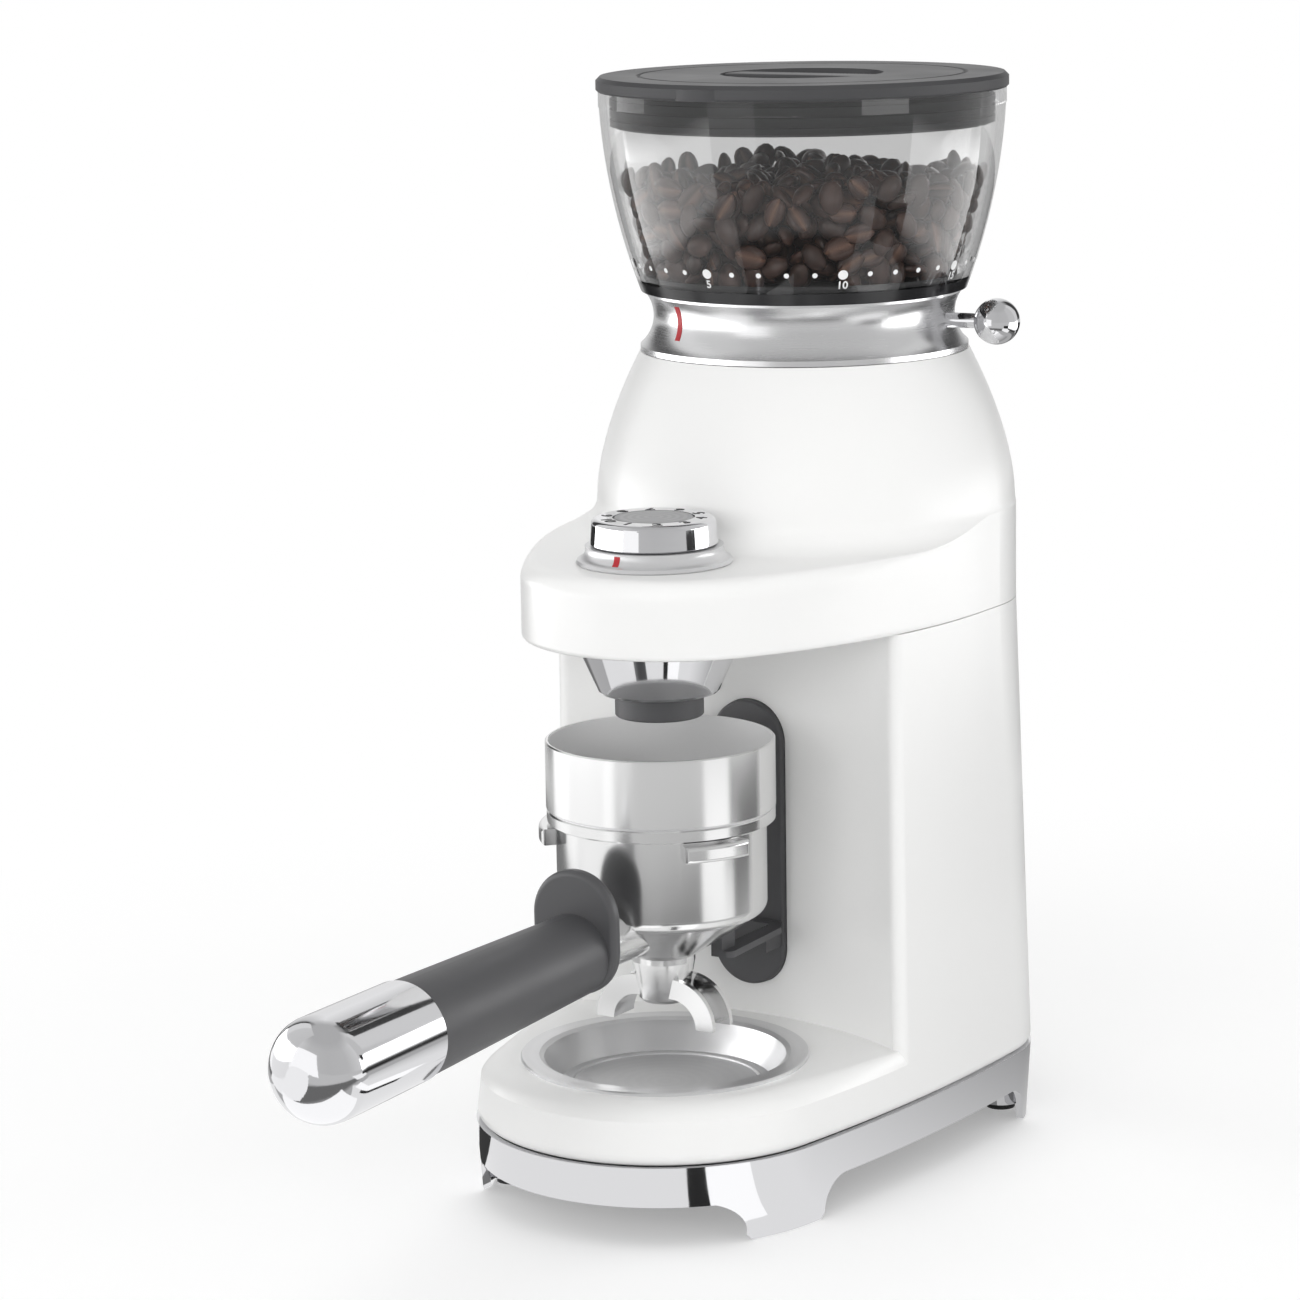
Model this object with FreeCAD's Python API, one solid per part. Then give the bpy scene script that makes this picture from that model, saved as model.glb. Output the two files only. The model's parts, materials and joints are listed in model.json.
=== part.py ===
import FreeCAD, Part
import math
import os

# Burr coffee grinder with a bean hopper, a dosing knob and a portafilter fork.
# Millimetres, +Z up, front towards -Y. The origin is on the floor under the axis of the hopper and the burrs.

V = FreeCAD.Vector
UP = V(0, 0, 1)

# Clearances shared by the fits below
SEAM = 0.3            # gap left at a parting line or under a part that turns
RUN = 0.05            # radial running clearance of a shaft in its bearing
SLIP = 0.3            # radial clearance of a part that slides or drops into a seat
CUT = 1.0             # how far a cutting shape runs past the face it cuts

# Housing plan, seen from above: a round nose at the front and a flatter back
SPOUT_Y = -116.0      # axis of the nozzle, the portafilter and the drip tray
WALL = 3.0            # moulded housing wall
BASE_HALF_WIDTH = 86.5
BASE_WIDE_Y = 10.0
BASE_NOSE_R = 75.5
BASE_BACK_Y = 70.0
BASE_CORNER_R = 48.0
HEAD_TAPER = 0.5      # how much narrower each side is at the head than at the base
HEAD_WIDE_Y = -12.0
HEAD_NOSE_Y = -104.0
HEAD_NOSE_R = 60.0
HEAD_BACK_Y = 66.5
HEAD_CORNER_R = 60.0

# Heights of the housings
SKIRT_TOP_Z = 32.5
SKIRT_HEIGHT = 16.0
DECK_Z = 55.5
DECK_ROUND = 14.0
HEAD_Z = 224.0
SHELF_TOP_Z = 254.5
SHELF_ROUND = 7.0
SHELF_LOWER_ROUND = 1.8
DOME_TOP_Z = 325.0
DOME_TOP_R = 66.8
DOME_STEP = 0.5       # how far the dome's side stands inside the shelf's
DOME_SWELL = 1.7      # exponent of the dome's shoulder curve
DOME_EASE = 0.4       # how far the dome's plan leaves a true circle at the front
DOME_FLAT = 1.0       # half width of the flat at the back of the dome's top
COVE_R = 11.0         # hollow curve between the dome and the shelf
NECK_HOLE_R = 57.0

# Niche that the portafilter stands in
NICHE_Y = -47.0
NICHE_R = 150.0
NICHE_EDGE_R = 4.0

# Chrome base frame and its legs
FRAME_WALL = 3.0
FRAME_TAPER = 2.0
LEG_FLOOR_Z = 0.6
FRONT_ARCH_HALF = 63.0
FRONT_SHOULDER = 9.0
REAR_ARCH_HALF = 48.0
SIDE_ARCH_FRONT_Y = -122.0
SIDE_ARCH_REAR_Y = 34.0
SIDE_SHOULDER = 15.0
PAD_R = 6.0
PAD_HEIGHT = 2.5
BOSS_R = 8.0
BOSS_EMBED = 1.5      # how far a boss runs into the skirt beside it
LEG_FRONT_ANGLE = -20.0
LEG_REAR_ANGLE = 42.0
COVER_Z = 18.0
COVER_THICK = 2.5
LIP_HEIGHT = 5.0
LIP_THICK = 2.0
LIP_FRONT_Y = -34.0
LIP_SETBACK = 1.4     # extra room for the taper of the housing above the frame

# Collar and its lever
COLLAR_HEIGHT = 23.8
COLLAR_WAIST_R = 61.3
COLLAR_WAIST = 0.54   # height of the waist, as a share of the collar's
COLLAR_FOOT = 2.2     # upright bands at the foot and the top edge
COLLAR_EDGE = 1.0
COLLAR_TOP_R = 64.0
COLLAR_WALL = 3.2     # least wall, at the waist
LEVER_Z = 338.0
LEVER_ANGLE = 9.0     # degrees behind the +X side
LEVER_ROD_R = 3.0
LEVER_REACH = 82.5
LEVER_BALL_R = 9.3

# Hopper and lid
HOPPER_Z = 349.6
HOPPER_TOP_Z = 430.0
HOPPER_FOOT_R = 66.3
HOPPER_RIM_R = 82.4
HOPPER_BULGE = 3.4    # how far the wall swells beyond a straight cone
HOPPER_WALL = 3.0
HOPPER_BAND = 4.4
HOPPER_RIM_BAND = 6.0
HOPPER_THROAT_R = 28.0
HOPPER_THROAT_DROP = 14.0
HOPPER_THROAT_WALL = 2.5
HOPPER_FLOOR = 2.0
HOPPER_SPIGOT = 3.0   # how far the foot stands up inside the clear wall
LID_R = 83.3
LID_THICK = 6.0
LID_PLUG = 14.0
LID_GRIP_R = 33.0
LID_GRIP_DEPTH = 4.0
LID_GRIP_BAR = 15.0
LID_GROOVE_R = 66.0
LID_GROOVE = 1.0      # depth and half width of the groove
LID_BEVEL = 1.6
LID_PLUG_WALL = 3.0
LID_LIP_R = 14.0
LID_LIP_OUT = 2.6
SEAL_THICK = 2.2
SEAL_GAP = 0.75       # room between the seal and the hopper's wall
SEAL_RIBS = 3
SEAL_CREST = 0.6      # share of a rib's height that stands out
SEAL_MARGIN = 1.0     # bare plug above and below the seal

# Knob on the shelf
KNOB_Y = -118.0
BEZEL_R = 30.6
BEZEL_TOP_R = 27.0
BEZEL_HEIGHT = 7.0
BEZEL_STEP = 1.8
KNOB_R = 25.0
KNOB_HEIGHT = 10.5
KNOB_CROWN = 2.3      # radius of the dial's top edge
KNOB_EDGE = 0.6       # small edges of the bezel, the dial and the button
BUTTON_R = 15.7
BUTTON_THICK = 2.4
BUTTON_TRAVEL = 1.5
KNOB_SHAFT_R = 3.0
ENCODER_SIZE = 16.0
ENCODER_HEIGHT = 8.0
ENCODER_FLOOR = 1.0

# Outlet under the shelf
CONE_TOP_R = 33.0
CONE_LOW_R = 24.0
CONE_LOW_Z = 203.2
CONE_EDGE = 1.0
CONE_RIM = 3.0
NOZZLE_R = 17.4
NOZZLE_LOW_Z = 193.8
NOZZLE_WALL = 2.4
NOZZLE_EDGE = 0.5
NOZZLE_GRIP = 9.0     # length of nozzle held in the cone
FLOOR_THICK = 2.5

# Portafilter
RIM_R = 45.0
RIM_Z = 157.0
RIM_HEIGHT = 5.0
RIM_EDGE = 0.6
BOWL_R = 41.5
BOWL_WALL = 2.6
BOWL_LOW_Z = 120.0
BOWL_CONE_R = 38.5    # top of the sloping bottom
BOWL_CONE_Z = 114.6
BOWL_BOTTOM_Z = 97.2
HUB_R = 12.6
HUB_Z = 95.0
HUB_LOW_Z = 78.4
HUB_BORE_R = 4.5
HUB_TAPER = 2.8       # how much narrower the spout's hub is at its lower end
HUB_BEVEL = 1.4
LUG_OUT = 6.8
LUG_EMBED = 0.5       # how far the lug runs into the bowl
LUG_HEIGHT = 6.5
LUG_TOP_Z = 151.0
LUG_AZIMUTH = 60.0    # degrees either side of the handle
LUG_ARC = 34.0
LUG_ROUND = 1.4
BASKET_WALL = 0.8
BASKET_FLANGE = 1.0
BASKET_INSET = 0.8    # flange inside the bowl's rim
BASKET_BEVEL = 2.0
BASKET_FLOOR_Z = 130.0
RING_R = 45.2
RING_WALL = 1.6
RING_TOP_Z = 184.6
RING_SPIGOT = 4.0
RING_SPIGOT_WALL = 1.2
RING_EDGE = 0.5
SPOUT_OFFSET = 8.0    # centre of each spout's curve, out from the hub axis
SPOUT_R = 19.0
SPOUT_INNER_R = 11.0
SPOUT_WIDTH = 15.0
SPOUT_WALL = 2.2
SPOUT_TIP_Z = 70.0

# Handle, laid out level and then tipped down a little
HANDLE_Z = 112.0
HANDLE_DROOP = 1.0
NECK_R = 11.0
NECK_FLARE = 2.5      # how much wider the neck is against the guard
NECK_FLARE_LENGTH = 6.0
GUARD_Y = -175.0
GUARD_THICK = 6.0
GUARD_HALF_WIDTH = 18.5
GUARD_RISE = 33.0
GUARD_EDGE_R = 2.2
GRIP_R = 16.0
GRIP_END_R = 18.8
GRIP_LENGTH = 112.0
CAP_R = 20.0
CAP_LENGTH = 66.0
CAP_ROUND = 16.0
CAP_EDGE = 0.6
HANDLE_BOLT_R = 4.0
HANDLE_BOLT_END = 140.0
HANDLE_BOLT_ROOM = 4.0    # from the bowl to the bolt's end

# Fork and the plate that carries it
PLATE_HALF_WIDTH = 16.6
PLATE_LOW_Z = 68.5
PLATE_TOP_Z = 187.0
PLATE_PROUD = 3.5
PLATE_FLANGE = 3.0
PLATE_EDGE_R = 1.2
PLATE_FLANGE_THICK = 2.5
FORK_THICK = 2.6
FORK_GAP = 13.6       # half the slot between the prongs
FORK_HALF_WIDTH = 23.0
FORK_TAPER = 2.5      # how much narrower the prongs are near the plate
FORK_REACH_Y = -102.0
FORK_RIB_DEPTH = 8.0
FORK_RIB_LENGTH = 12.0
FORK_SHOULDER = 8.0
FORK_FOOT_INSET = 1.0
FORK_CORNER_R = 3.0
FORK_PAD = 5.0
FORK_SCREW_X = 8.0

# Drip tray
TRAY_R = 57.4
TRAY_BOWL_R = 50.0
TRAY_FLOOR_R = 44.0
TRAY_DEPTH = 11.0
TRAY_SHEET = 1.4
TRAY_BEAD_R = 38.0
TRAY_BEAD = 0.9       # height and half width of the bead
TRAY_EDGE = 0.5
TRAY_LIP = 1.1        # height of the eased edge of the dish

# Drive train
MOTOR_R = 30.0
MOTOR_LENGTH = 78.0
MOTOR_WALL = 2.2
MOTOR_VENTS = 6
MOTOR_VENT_WIDTH = 6.0
MOTOR_VENT_HEIGHT = 14.0
MOTOR_VENT_Z = 10.0   # above the motor's lower end
MOTOR_SHAFT_R = 3.0
SHAFT_PROUD = 1.0     # motor shaft beyond the pinion
ROTOR_R = 22.0
ROTOR_SLOTS = 9
ROTOR_SLOT_WIDTH = 3.0
ROTOR_DROP = 12.5     # top of the rotor below the drive plate
ROTOR_LENGTH = 51.5
FAN_R = 26.0
FAN_HEIGHT = 7.0
FAN_BLADES = 8
FAN_SHEET = 1.2
GEAR_MODULE = 1.5
PINION_TEETH = 8
GEAR_TEETH = 34
GEAR_WIDTH = 10.0
GEAR_LIFT = 3.0       # gears above the drive plate
GEAR_HOLES = 5
TOOTH_OUT = 0.85      # tooth heights, in modules
TOOTH_IN = 1.15
TOOTH_TIP = 0.13      # half widths of a tooth, in pitches
TOOTH_ROOT = 0.29
PLATE_Z = 176.0       # underside of the drive plate
DRIVE_PLATE_THICK = 4.0
DRIVE_PLATE_GAP = 1.0
POST_R = 6.0
POST_FRONT_Y = -22.0
POST_REAR_Y = 6.0
POST_HEIGHT = 24.0
POST_EMBED = 0.8      # how far a post runs into the side wall
GEARBOX_WALL = 2.6
GEARBOX_HEIGHT = 18.0
SHAFT_R = 5.0
BEARING_R = 11.0
BEARING_HEIGHT = 6.0

# Grinding chamber and burrs
CHAMBER_Z = 240.0
CHAMBER_R = 44.0
CHAMBER_WALL = 3.4
CHAMBER_FLOOR = 4.0
CHAMBER_TOP_Z = 318.0
PILLAR_R = 4.5
PILLAR_RING_R = 36.0
PILLAR_ANGLE = -60.0   # the first of them
PILLARS = 3
IMPELLER_HEIGHT = 12.0
IMPELLER_VANES = 6
IMPELLER_SHEET = 2.0
IMPELLER_GAP = 1.0
IMPELLER_HUB_WALL = 4.0
INNER_BURR_Z = 259.0
INNER_BURR_HEIGHT = 27.0
INNER_BURR_R = 19.4
INNER_BURR_TOP_R = 12.0
INNER_BURR_TEETH = 9
BURR_GAP = 0.6
BURR_MOUTH = 2.0      # how much wider the gap is where the beans come in
BURR_TOOTH = 2.6
BURR_TWIST = 24.0
NUT_R = 9.0
NUT_HEIGHT = 6.0
OUTER_BURR_Z = 266.0
OUTER_BURR_HEIGHT = 18.0
OUTER_BURR_R = 28.0
OUTER_BURR_TEETH = 24
CARRIER_Z = 263.0
CARRIER_TOP_Z = 304.0
CARRIER_THROAT_R = 24.0
CARRIER_RIM = 4.0
CARRIER_PIN_R = 2.0
CARRIER_PIN_Z = 296.0
CARRIER_PINS = 3
CARRIER_PIN_GRIP = 3.0
CARRIER_TRAVEL = 1.2
CAM_RING_R = 52.0
CAM_RING_LOW_Z = 287.0
CAM_RING_WALL = 6.4
CAM_GROOVE = 3.0
CAM_FLANGE = 3.0
SEAT_TUBE_R = 43.6
SEAT_TUBE_WALL = 5.0
SEAT_FLANGE = 4.0
CHUTE_WIDTH = 30.0
CHUTE_HEIGHT = 14.0
CHUTE_LOW_HEIGHT = 9.0
CHUTE_WALL = 2.0
CHUTE_LOW_Z = 227.5
CHUTE_START_Z = 246.0
CHUTE_TUBE_R = 14.0

# Small inner parts
BOARD_LENGTH = 44.0
BOARD_WIDTH = 34.0
BOARD_THICK = 1.6
BOARD_GAP = 2.5       # from the board's front corner to the side wall
BOARD_Y = -84.0
BOARD_STANDOFF = 2.5
RELAY_LENGTH = 18.0
RELAY_WIDTH = 12.0
RELAY_HEIGHT = 11.0
GLAND_R = 7.0
GLAND_BORE_R = 3.4
GLAND_OUT = 3.5
GLAND_Z = 45.0
SCREW_R = 2.0
SCREW_HEAD_R = 3.8
SCREW_HEAD = 2.4
SCREW_ROOM = 1.0      # left below a screw in its hole
VENT_LENGTH = 46.0
VENT_WIDTH = 3.0
VENT_PITCH = 8.0
VENTS = 5

# Heights and radii that follow from the sizes above
COLLAR_Z = DOME_TOP_Z + SEAM
COLLAR_TOP_Z = COLLAR_Z + COLLAR_HEIGHT
COLLAR_BORE_R = COLLAR_WAIST_R - COLLAR_WALL
COVE_TOP_Z = SHELF_TOP_Z + COVE_R
HEAD_HALF_WIDTH = BASE_HALF_WIDTH - HEAD_TAPER
DOME_R = HEAD_HALF_WIDTH - DOME_STEP
SKIRT_LOW_Z = SKIRT_TOP_Z - SKIRT_HEIGHT
NICHE_CENTRE_Y = NICHE_Y - NICHE_R
KNOB_Z = SHELF_TOP_Z + BEZEL_HEIGHT + SEAM
KNOB_TOP_Z = KNOB_Z + KNOB_HEIGHT
MOTOR_Y = GEAR_MODULE * (PINION_TEETH + GEAR_TEETH) / 2.0
GEAR_Z = PLATE_Z + DRIVE_PLATE_THICK + GEAR_LIFT
GEARBOX_TOP_Z = PLATE_Z + DRIVE_PLATE_THICK + GEARBOX_HEIGHT
GEAR_R = GEAR_MODULE * GEAR_TEETH / 2.0
PINION_R = GEAR_MODULE * PINION_TEETH / 2.0
CHAMBER_BORE_R = CHAMBER_R - CHAMBER_WALL
CHAMBER_FLOOR_Z = CHAMBER_Z + CHAMBER_FLOOR
PLATE_FRONT_Y = NICHE_Y - PLATE_PROUD
FORK_TOP_Z = BOWL_BOTTOM_Z - SEAM
BASE_PLAN = (BASE_HALF_WIDTH, BASE_WIDE_Y, SPOUT_Y, BASE_NOSE_R, BASE_BACK_Y, BASE_CORNER_R)
HEAD_PLAN = (HEAD_HALF_WIDTH, HEAD_WIDE_Y, HEAD_NOSE_Y, HEAD_NOSE_R, HEAD_BACK_Y, HEAD_CORNER_R)


def save(shape, node):
    shape.exportStep("parts/%s.step" % node)


def line(a, b):
    return Part.LineSegment(a, b).toShape()


def arc(a, mid, b):
    return Part.Arc(a, mid, b).toShape()


def side_radius(half, run, nose_r):
    """Radius of the side curve that runs from the widest place to the round nose."""
    return (half ** 2 + run ** 2 - nose_r ** 2) / (2.0 * (half - nose_r))


def half_width_at(plan, y):
    """Half width of a plan at a place along its side curve."""
    half, wide_y, nose_y, nose_r = plan[:4]
    side_r = side_radius(half, wide_y - nose_y, nose_r)
    return half - side_r + math.sqrt(side_r ** 2 - (wide_y - y) ** 2)


def plan_wire(plan, inset, z, nose_inset=0.0):
    """Closed outline of a housing; nose_inset draws in the nose alone and fades out along the sides."""
    half, wide_y, nose_y, nose_r, back_y, corner_r = plan
    half, nose_r = half - inset, nose_r - inset - nose_inset
    back_y, corner_r = back_y - inset, corner_r - inset
    run = wide_y - nose_y
    side_r = side_radius(half, run, nose_r)
    turn = math.atan2(run, side_r - half)
    meet = V(nose_r * math.cos(turn), nose_y - nose_r * math.sin(turn), z)
    side_mid = V(half - side_r * (1 - math.cos(turn / 2)), wide_y - side_r * math.sin(turn / 2), z)
    bend = corner_r * math.sqrt(0.5)
    corner_mid = V(half - corner_r + bend, back_y - corner_r + bend, z)
    right = [V(half - corner_r, back_y, z), corner_mid, V(half, back_y - corner_r, z),
             V(half, wide_y, z), side_mid, meet]
    left = [V(-p.x, p.y, z) for p in right]
    nose = V(0, nose_y - nose_r, z)
    return Part.Wire([
        line(left[0], right[0]),
        arc(right[0], right[1], right[2]),
        line(right[2], right[3]),
        arc(right[3], right[4], right[5]),
        arc(right[5], nose, left[5]),
        arc(left[5], left[4], left[3]),
        line(left[3], left[2]),
        arc(left[2], left[1], left[0]),
    ])


def loft(wires):
    return Part.makeLoft(wires, True, False)


def prism(plan, inset, z0, z1, nose_inset=0.0):
    return Part.Face(plan_wire(plan, inset, z0, nose_inset)).extrude(V(0, 0, z1 - z0))


def rounded_nose(plan, inset, z0, z1, radius):
    """Slab between two heights whose nose edge is rounded over by radius at z1."""
    rise = 1.0 if z1 > z0 else -1.0
    wires = []
    for step in range(5):
        turn = math.pi / 2 * step / 4.0
        z = z1 - rise * radius * (1 - math.sin(turn))
        wires.append(plan_wire(plan, inset, z, radius * (1 - math.cos(turn))))
    flat = prism(plan, inset, z0, z1 - rise * radius)
    return flat.fuse(loft(wires))


def turned(path, y=0.0):
    """Solid of revolution about the upright axis at y; path steps are (r, z) or a pair for an arc."""
    points = [V(path[0][0], y, path[0][1])]
    edges = []
    for step in list(path[1:]) + [path[0]]:
        if isinstance(step[0], tuple):
            mid, end = [V(r, y, z) for r, z in step]
            edges.append(arc(points[-1], mid, end))
        else:
            end = V(step[0], y, step[1])
            if end.sub(points[-1]).Length < 1e-6:
                continue
            edges.append(line(points[-1], end))
        points.append(end)
    return Part.Face(Part.Wire(edges)).revolve(V(0, y, 0), UP, 360)


def rod(radius, z0, z1, x=0.0, y=0.0):
    return Part.makeCylinder(radius, z1 - z0, V(x, y, z0))


def tube(outer, inner, z0, z1, x=0.0, y=0.0):
    return rod(outer, z0, z1, x, y).cut(rod(inner, z0 - CUT, z1 + CUT, x, y))


def block(x0, x1, y0, y1, z0, z1):
    return Part.makeBox(x1 - x0, y1 - y0, z1 - z0, V(x0, y0, z0))


def fused(shapes):
    return shapes[0].multiFuse(shapes[1:]).removeSplitter()


def mirrored(shape):
    return shape.mirror(V(0, 0, 0), V(1, 0, 0))


def around(shape, count, y=0.0):
    copies = []
    for index in range(count):
        copy = shape.copy()
        copy.rotate(V(0, y, 0), UP, 360.0 * index / count)
        copies.append(copy)
    return copies


def stadium(half_width, z0, z1, y0, y1):
    """Upright slot shape across X and Z, from y0 to y1."""
    bottom, top = z0 + half_width, z1 - half_width
    outline = Part.Wire([
        line(V(half_width, y0, bottom), V(half_width, y0, top)),
        arc(V(half_width, y0, top), V(0, y0, z1), V(-half_width, y0, top)),
        line(V(-half_width, y0, top), V(-half_width, y0, bottom)),
        arc(V(-half_width, y0, bottom), V(0, y0, z0), V(half_width, y0, bottom)),
    ])
    return Part.Face(outline).extrude(V(0, y1 - y0, 0))


def dome_wire(z, inset):
    """Plan of the dome at a height: a swelling shoulder, then the hollow curve onto the shelf."""
    share = max(0.0, (z - COVE_TOP_Z) / (DOME_TOP_Z - COVE_TOP_Z))
    swell = 1 - share ** DOME_SWELL
    flare = COVE_R - math.sqrt(COVE_R ** 2 - max(0.0, COVE_TOP_Z - z) ** 2)
    radius = DOME_TOP_R + (DOME_R - DOME_TOP_R) * swell + flare - inset
    back_y = HEAD_BACK_Y - inset + flare
    straight = DOME_FLAT + swell * (HEAD_BACK_Y - HEAD_CORNER_R - DOME_FLAT)
    nose_y = -DOME_EASE * (1 + math.sqrt(2))
    return plan_wire((radius, 0.0, nose_y, radius - DOME_EASE, back_y, back_y - straight), 0.0, z)


def dome(inset):
    height = DOME_TOP_Z - inset - COVE_TOP_Z
    return loft([dome_wire(COVE_TOP_Z + height * share, inset) for share in (0.0, 0.2, 0.4, 0.6, 0.8, 1.0)])


def cove():
    """Hollow curve round the foot of the dome, kept inside the shelf's outline."""
    foot = loft([dome_wire(SHELF_TOP_Z + COVE_R * share, 0.0) for share in (0.0, 0.08, 0.2, 0.4, 0.65, 1.0)])
    return foot.common(prism(HEAD_PLAN, 0.0, SHELF_TOP_Z, COVE_TOP_Z, SHELF_ROUND))


def upper_housing():
    """Head shell: the shelf with its round nose, and the dome that grows out of it."""
    middle = (HEAD_Z + SHELF_TOP_Z) / 2
    upper = rounded_nose(HEAD_PLAN, 0.0, middle, SHELF_TOP_Z, SHELF_ROUND)
    lower = rounded_nose(HEAD_PLAN, 0.0, middle, HEAD_Z, SHELF_LOWER_ROUND)
    outer = fused([upper, lower, cove(), dome(0.0)])
    shelf_hollow = prism(HEAD_PLAN, WALL, HEAD_Z - WALL, SHELF_TOP_Z - WALL)
    foot_hollow = Part.Face(dome_wire(COVE_TOP_Z, WALL)).extrude(V(0, 0, -COVE_R - 2 * WALL))
    neck_hole = rod(NECK_HOLE_R, DOME_TOP_Z - 2 * WALL, DOME_TOP_Z + WALL)
    knob_hole = rod(KNOB_SHAFT_R + SLIP, HEAD_Z, SHELF_TOP_Z + WALL, 0, KNOB_Y)
    bezel_seat = rod(BEZEL_R + SEAM, SHELF_TOP_Z, KNOB_TOP_Z, 0, KNOB_Y)
    for hollow in (shelf_hollow, foot_hollow, dome(WALL), neck_hole, knob_hole, bezel_seat):
        outer = outer.cut(hollow)
    return outer


def head_floor():
    """Underside of the shelf, with standoffs for the circuit board."""
    z0 = HEAD_Z + SEAM
    z1 = z0 + FLOOR_THICK
    rear = NICHE_Y + 2 * WALL
    room = block(-HEAD_HALF_WIDTH, HEAD_HALF_WIDTH, -2 * HEAD_HALF_WIDTH, rear, z0, z1)
    panel = prism(HEAD_PLAN, WALL + SLIP, z0, z1).common(room)
    posts = [rod(SCREW_HEAD_R, z1, z1 + BOARD_STANDOFF, x, y) for x, y in board_holes()]
    hole = rod(CHUTE_TUBE_R + SLIP, z0 - CUT, z1 + CUT, 0, SPOUT_Y)
    return fused([panel] + posts).cut(hole)


def board_x():
    """Centre of the board, which lies beside the left wall."""
    wall = half_width_at(HEAD_PLAN, BOARD_Y - BOARD_LENGTH / 2) - WALL
    return BOARD_GAP + BOARD_WIDTH / 2 - wall


def board_holes():
    reach_x = BOARD_WIDTH / 2 - SCREW_HEAD_R
    reach_y = BOARD_LENGTH / 2 - SCREW_HEAD_R
    return [(board_x() + sx * reach_x, BOARD_Y + sy * reach_y) for sx in (-1, 1) for sy in (-1, 1)]


def board_block(width, length, z0, z1):
    """Block centred on the board."""
    x0, y0 = board_x() - width / 2, BOARD_Y - length / 2
    return block(x0, x0 + width, y0, y0 + length, z0, z1)


def control_board():
    z0 = HEAD_Z + SEAM + FLOOR_THICK + BOARD_STANDOFF
    top = z0 + BOARD_THICK
    board = board_block(BOARD_WIDTH, BOARD_LENGTH, z0, top)
    return fused([board, board_block(RELAY_WIDTH, RELAY_LENGTH, top, top + RELAY_HEIGHT)])


def column_plan(z):
    """Plan of the tapering column at a height."""
    share = (z - SKIRT_TOP_Z) / (HEAD_Z - SKIRT_TOP_Z)
    return [a + (b - a) * share for a, b in zip(BASE_PLAN, HEAD_PLAN)]


def column_form(inset):
    """Column and deck as one block: a tapering tower with the niche taken out above the deck."""
    tower = loft([plan_wire(BASE_PLAN, inset, SKIRT_TOP_Z), plan_wire(HEAD_PLAN, inset, HEAD_Z - SEAM)])
    deck = rounded_nose(BASE_PLAN, inset - SEAM, SKIRT_TOP_Z - WALL, DECK_Z - inset, DECK_ROUND - inset)
    niche = rod(NICHE_R + inset, SKIRT_TOP_Z - WALL, HEAD_Z + WALL, 0, NICHE_CENTRE_Y)
    return tower.cut(niche.cut(deck))


def niche_edges(form):
    """The two upright edges where the niche meets the sides."""
    chosen = []
    for edge in form.Edges:
        middle = edge.valueAt((edge.FirstParameter + edge.LastParameter) / 2)
        if edge.Length > (HEAD_Z - DECK_Z) * 0.8 and middle.y < NICHE_Y and abs(middle.x) > PLATE_HALF_WIDTH:
            chosen.append(edge)
    return chosen


def drive_posts():
    """Places of the posts that the drive plate stands on, each run into the side wall."""
    x = column_plan(PLATE_Z - POST_HEIGHT / 2)[0] - WALL - POST_R + POST_EMBED
    return [(sx * x, y) for sx in (-1, 1) for y in (POST_FRONT_Y, POST_REAR_Y)]


def head_lip():
    """Raised lip round the back of the column that the head drops over."""
    joint_z = HEAD_Z - SEAM
    low, top = joint_z - LIP_HEIGHT, joint_z + LIP_HEIGHT
    foot = prism(HEAD_PLAN, WALL / 2, low, joint_z)
    rise = prism(HEAD_PLAN, WALL + SLIP, joint_z, top)
    ring = foot.fuse(rise).cut(prism(HEAD_PLAN, WALL + SLIP + LIP_THICK, low - CUT, top + CUT))
    return ring.common(block(-HEAD_HALF_WIDTH, HEAD_HALF_WIDTH, LIP_FRONT_Y, BASE_BACK_Y, low, top))


def lower_housing():
    """Column and deck shell with the tray well, the plate window and the posts of the drive plate."""
    outer = column_form(0.0)
    outer = outer.makeFillet(NICHE_EDGE_R, niche_edges(outer))
    shell = outer.cut(column_form(WALL))
    well_r = TRAY_BOWL_R + TRAY_SHEET + SLIP
    well_low = DECK_Z - TRAY_DEPTH - TRAY_SHEET - SEAM - WALL
    well = rod(well_r + WALL, well_low, DECK_Z - WALL / 2, 0, SPOUT_Y)
    posts = [rod(POST_R, PLATE_Z - POST_HEIGHT, PLATE_Z, x, y) for x, y in drive_posts()]
    shell = fused([shell, well, head_lip()] + posts)
    shell = shell.cut(rod(well_r, well_low + WALL, DECK_Z + WALL, 0, SPOUT_Y))
    window = stadium(PLATE_HALF_WIDTH + SLIP, PLATE_LOW_Z - SLIP, PLATE_TOP_Z + SLIP,
                     NICHE_Y - 2 * PLATE_PROUD, NICHE_Y + 2 * WALL)
    gland = Part.makeCylinder(GLAND_R + SLIP, 4 * WALL, V(0, BASE_BACK_Y - 3 * WALL, GLAND_Z), V(0, 1, 0))
    holes = [rod(SCREW_R, PLATE_Z - POST_HEIGHT / 2, PLATE_Z + CUT, x, y) for x, y in drive_posts()]
    return shell.cut(fused([window, gland])).cut(Part.makeCompound(holes))


def cord_gland():
    """Bush at the rear for the mains lead."""
    y0 = BASE_BACK_Y - 2 * WALL
    length = 2 * WALL + GLAND_OUT
    bush = Part.makeCylinder(GLAND_R, length, V(0, y0, GLAND_Z), V(0, 1, 0))
    return bush.cut(Part.makeCylinder(GLAND_BORE_R, length + 2 * CUT, V(0, y0 - CUT, GLAND_Z), V(0, 1, 0)))


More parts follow.
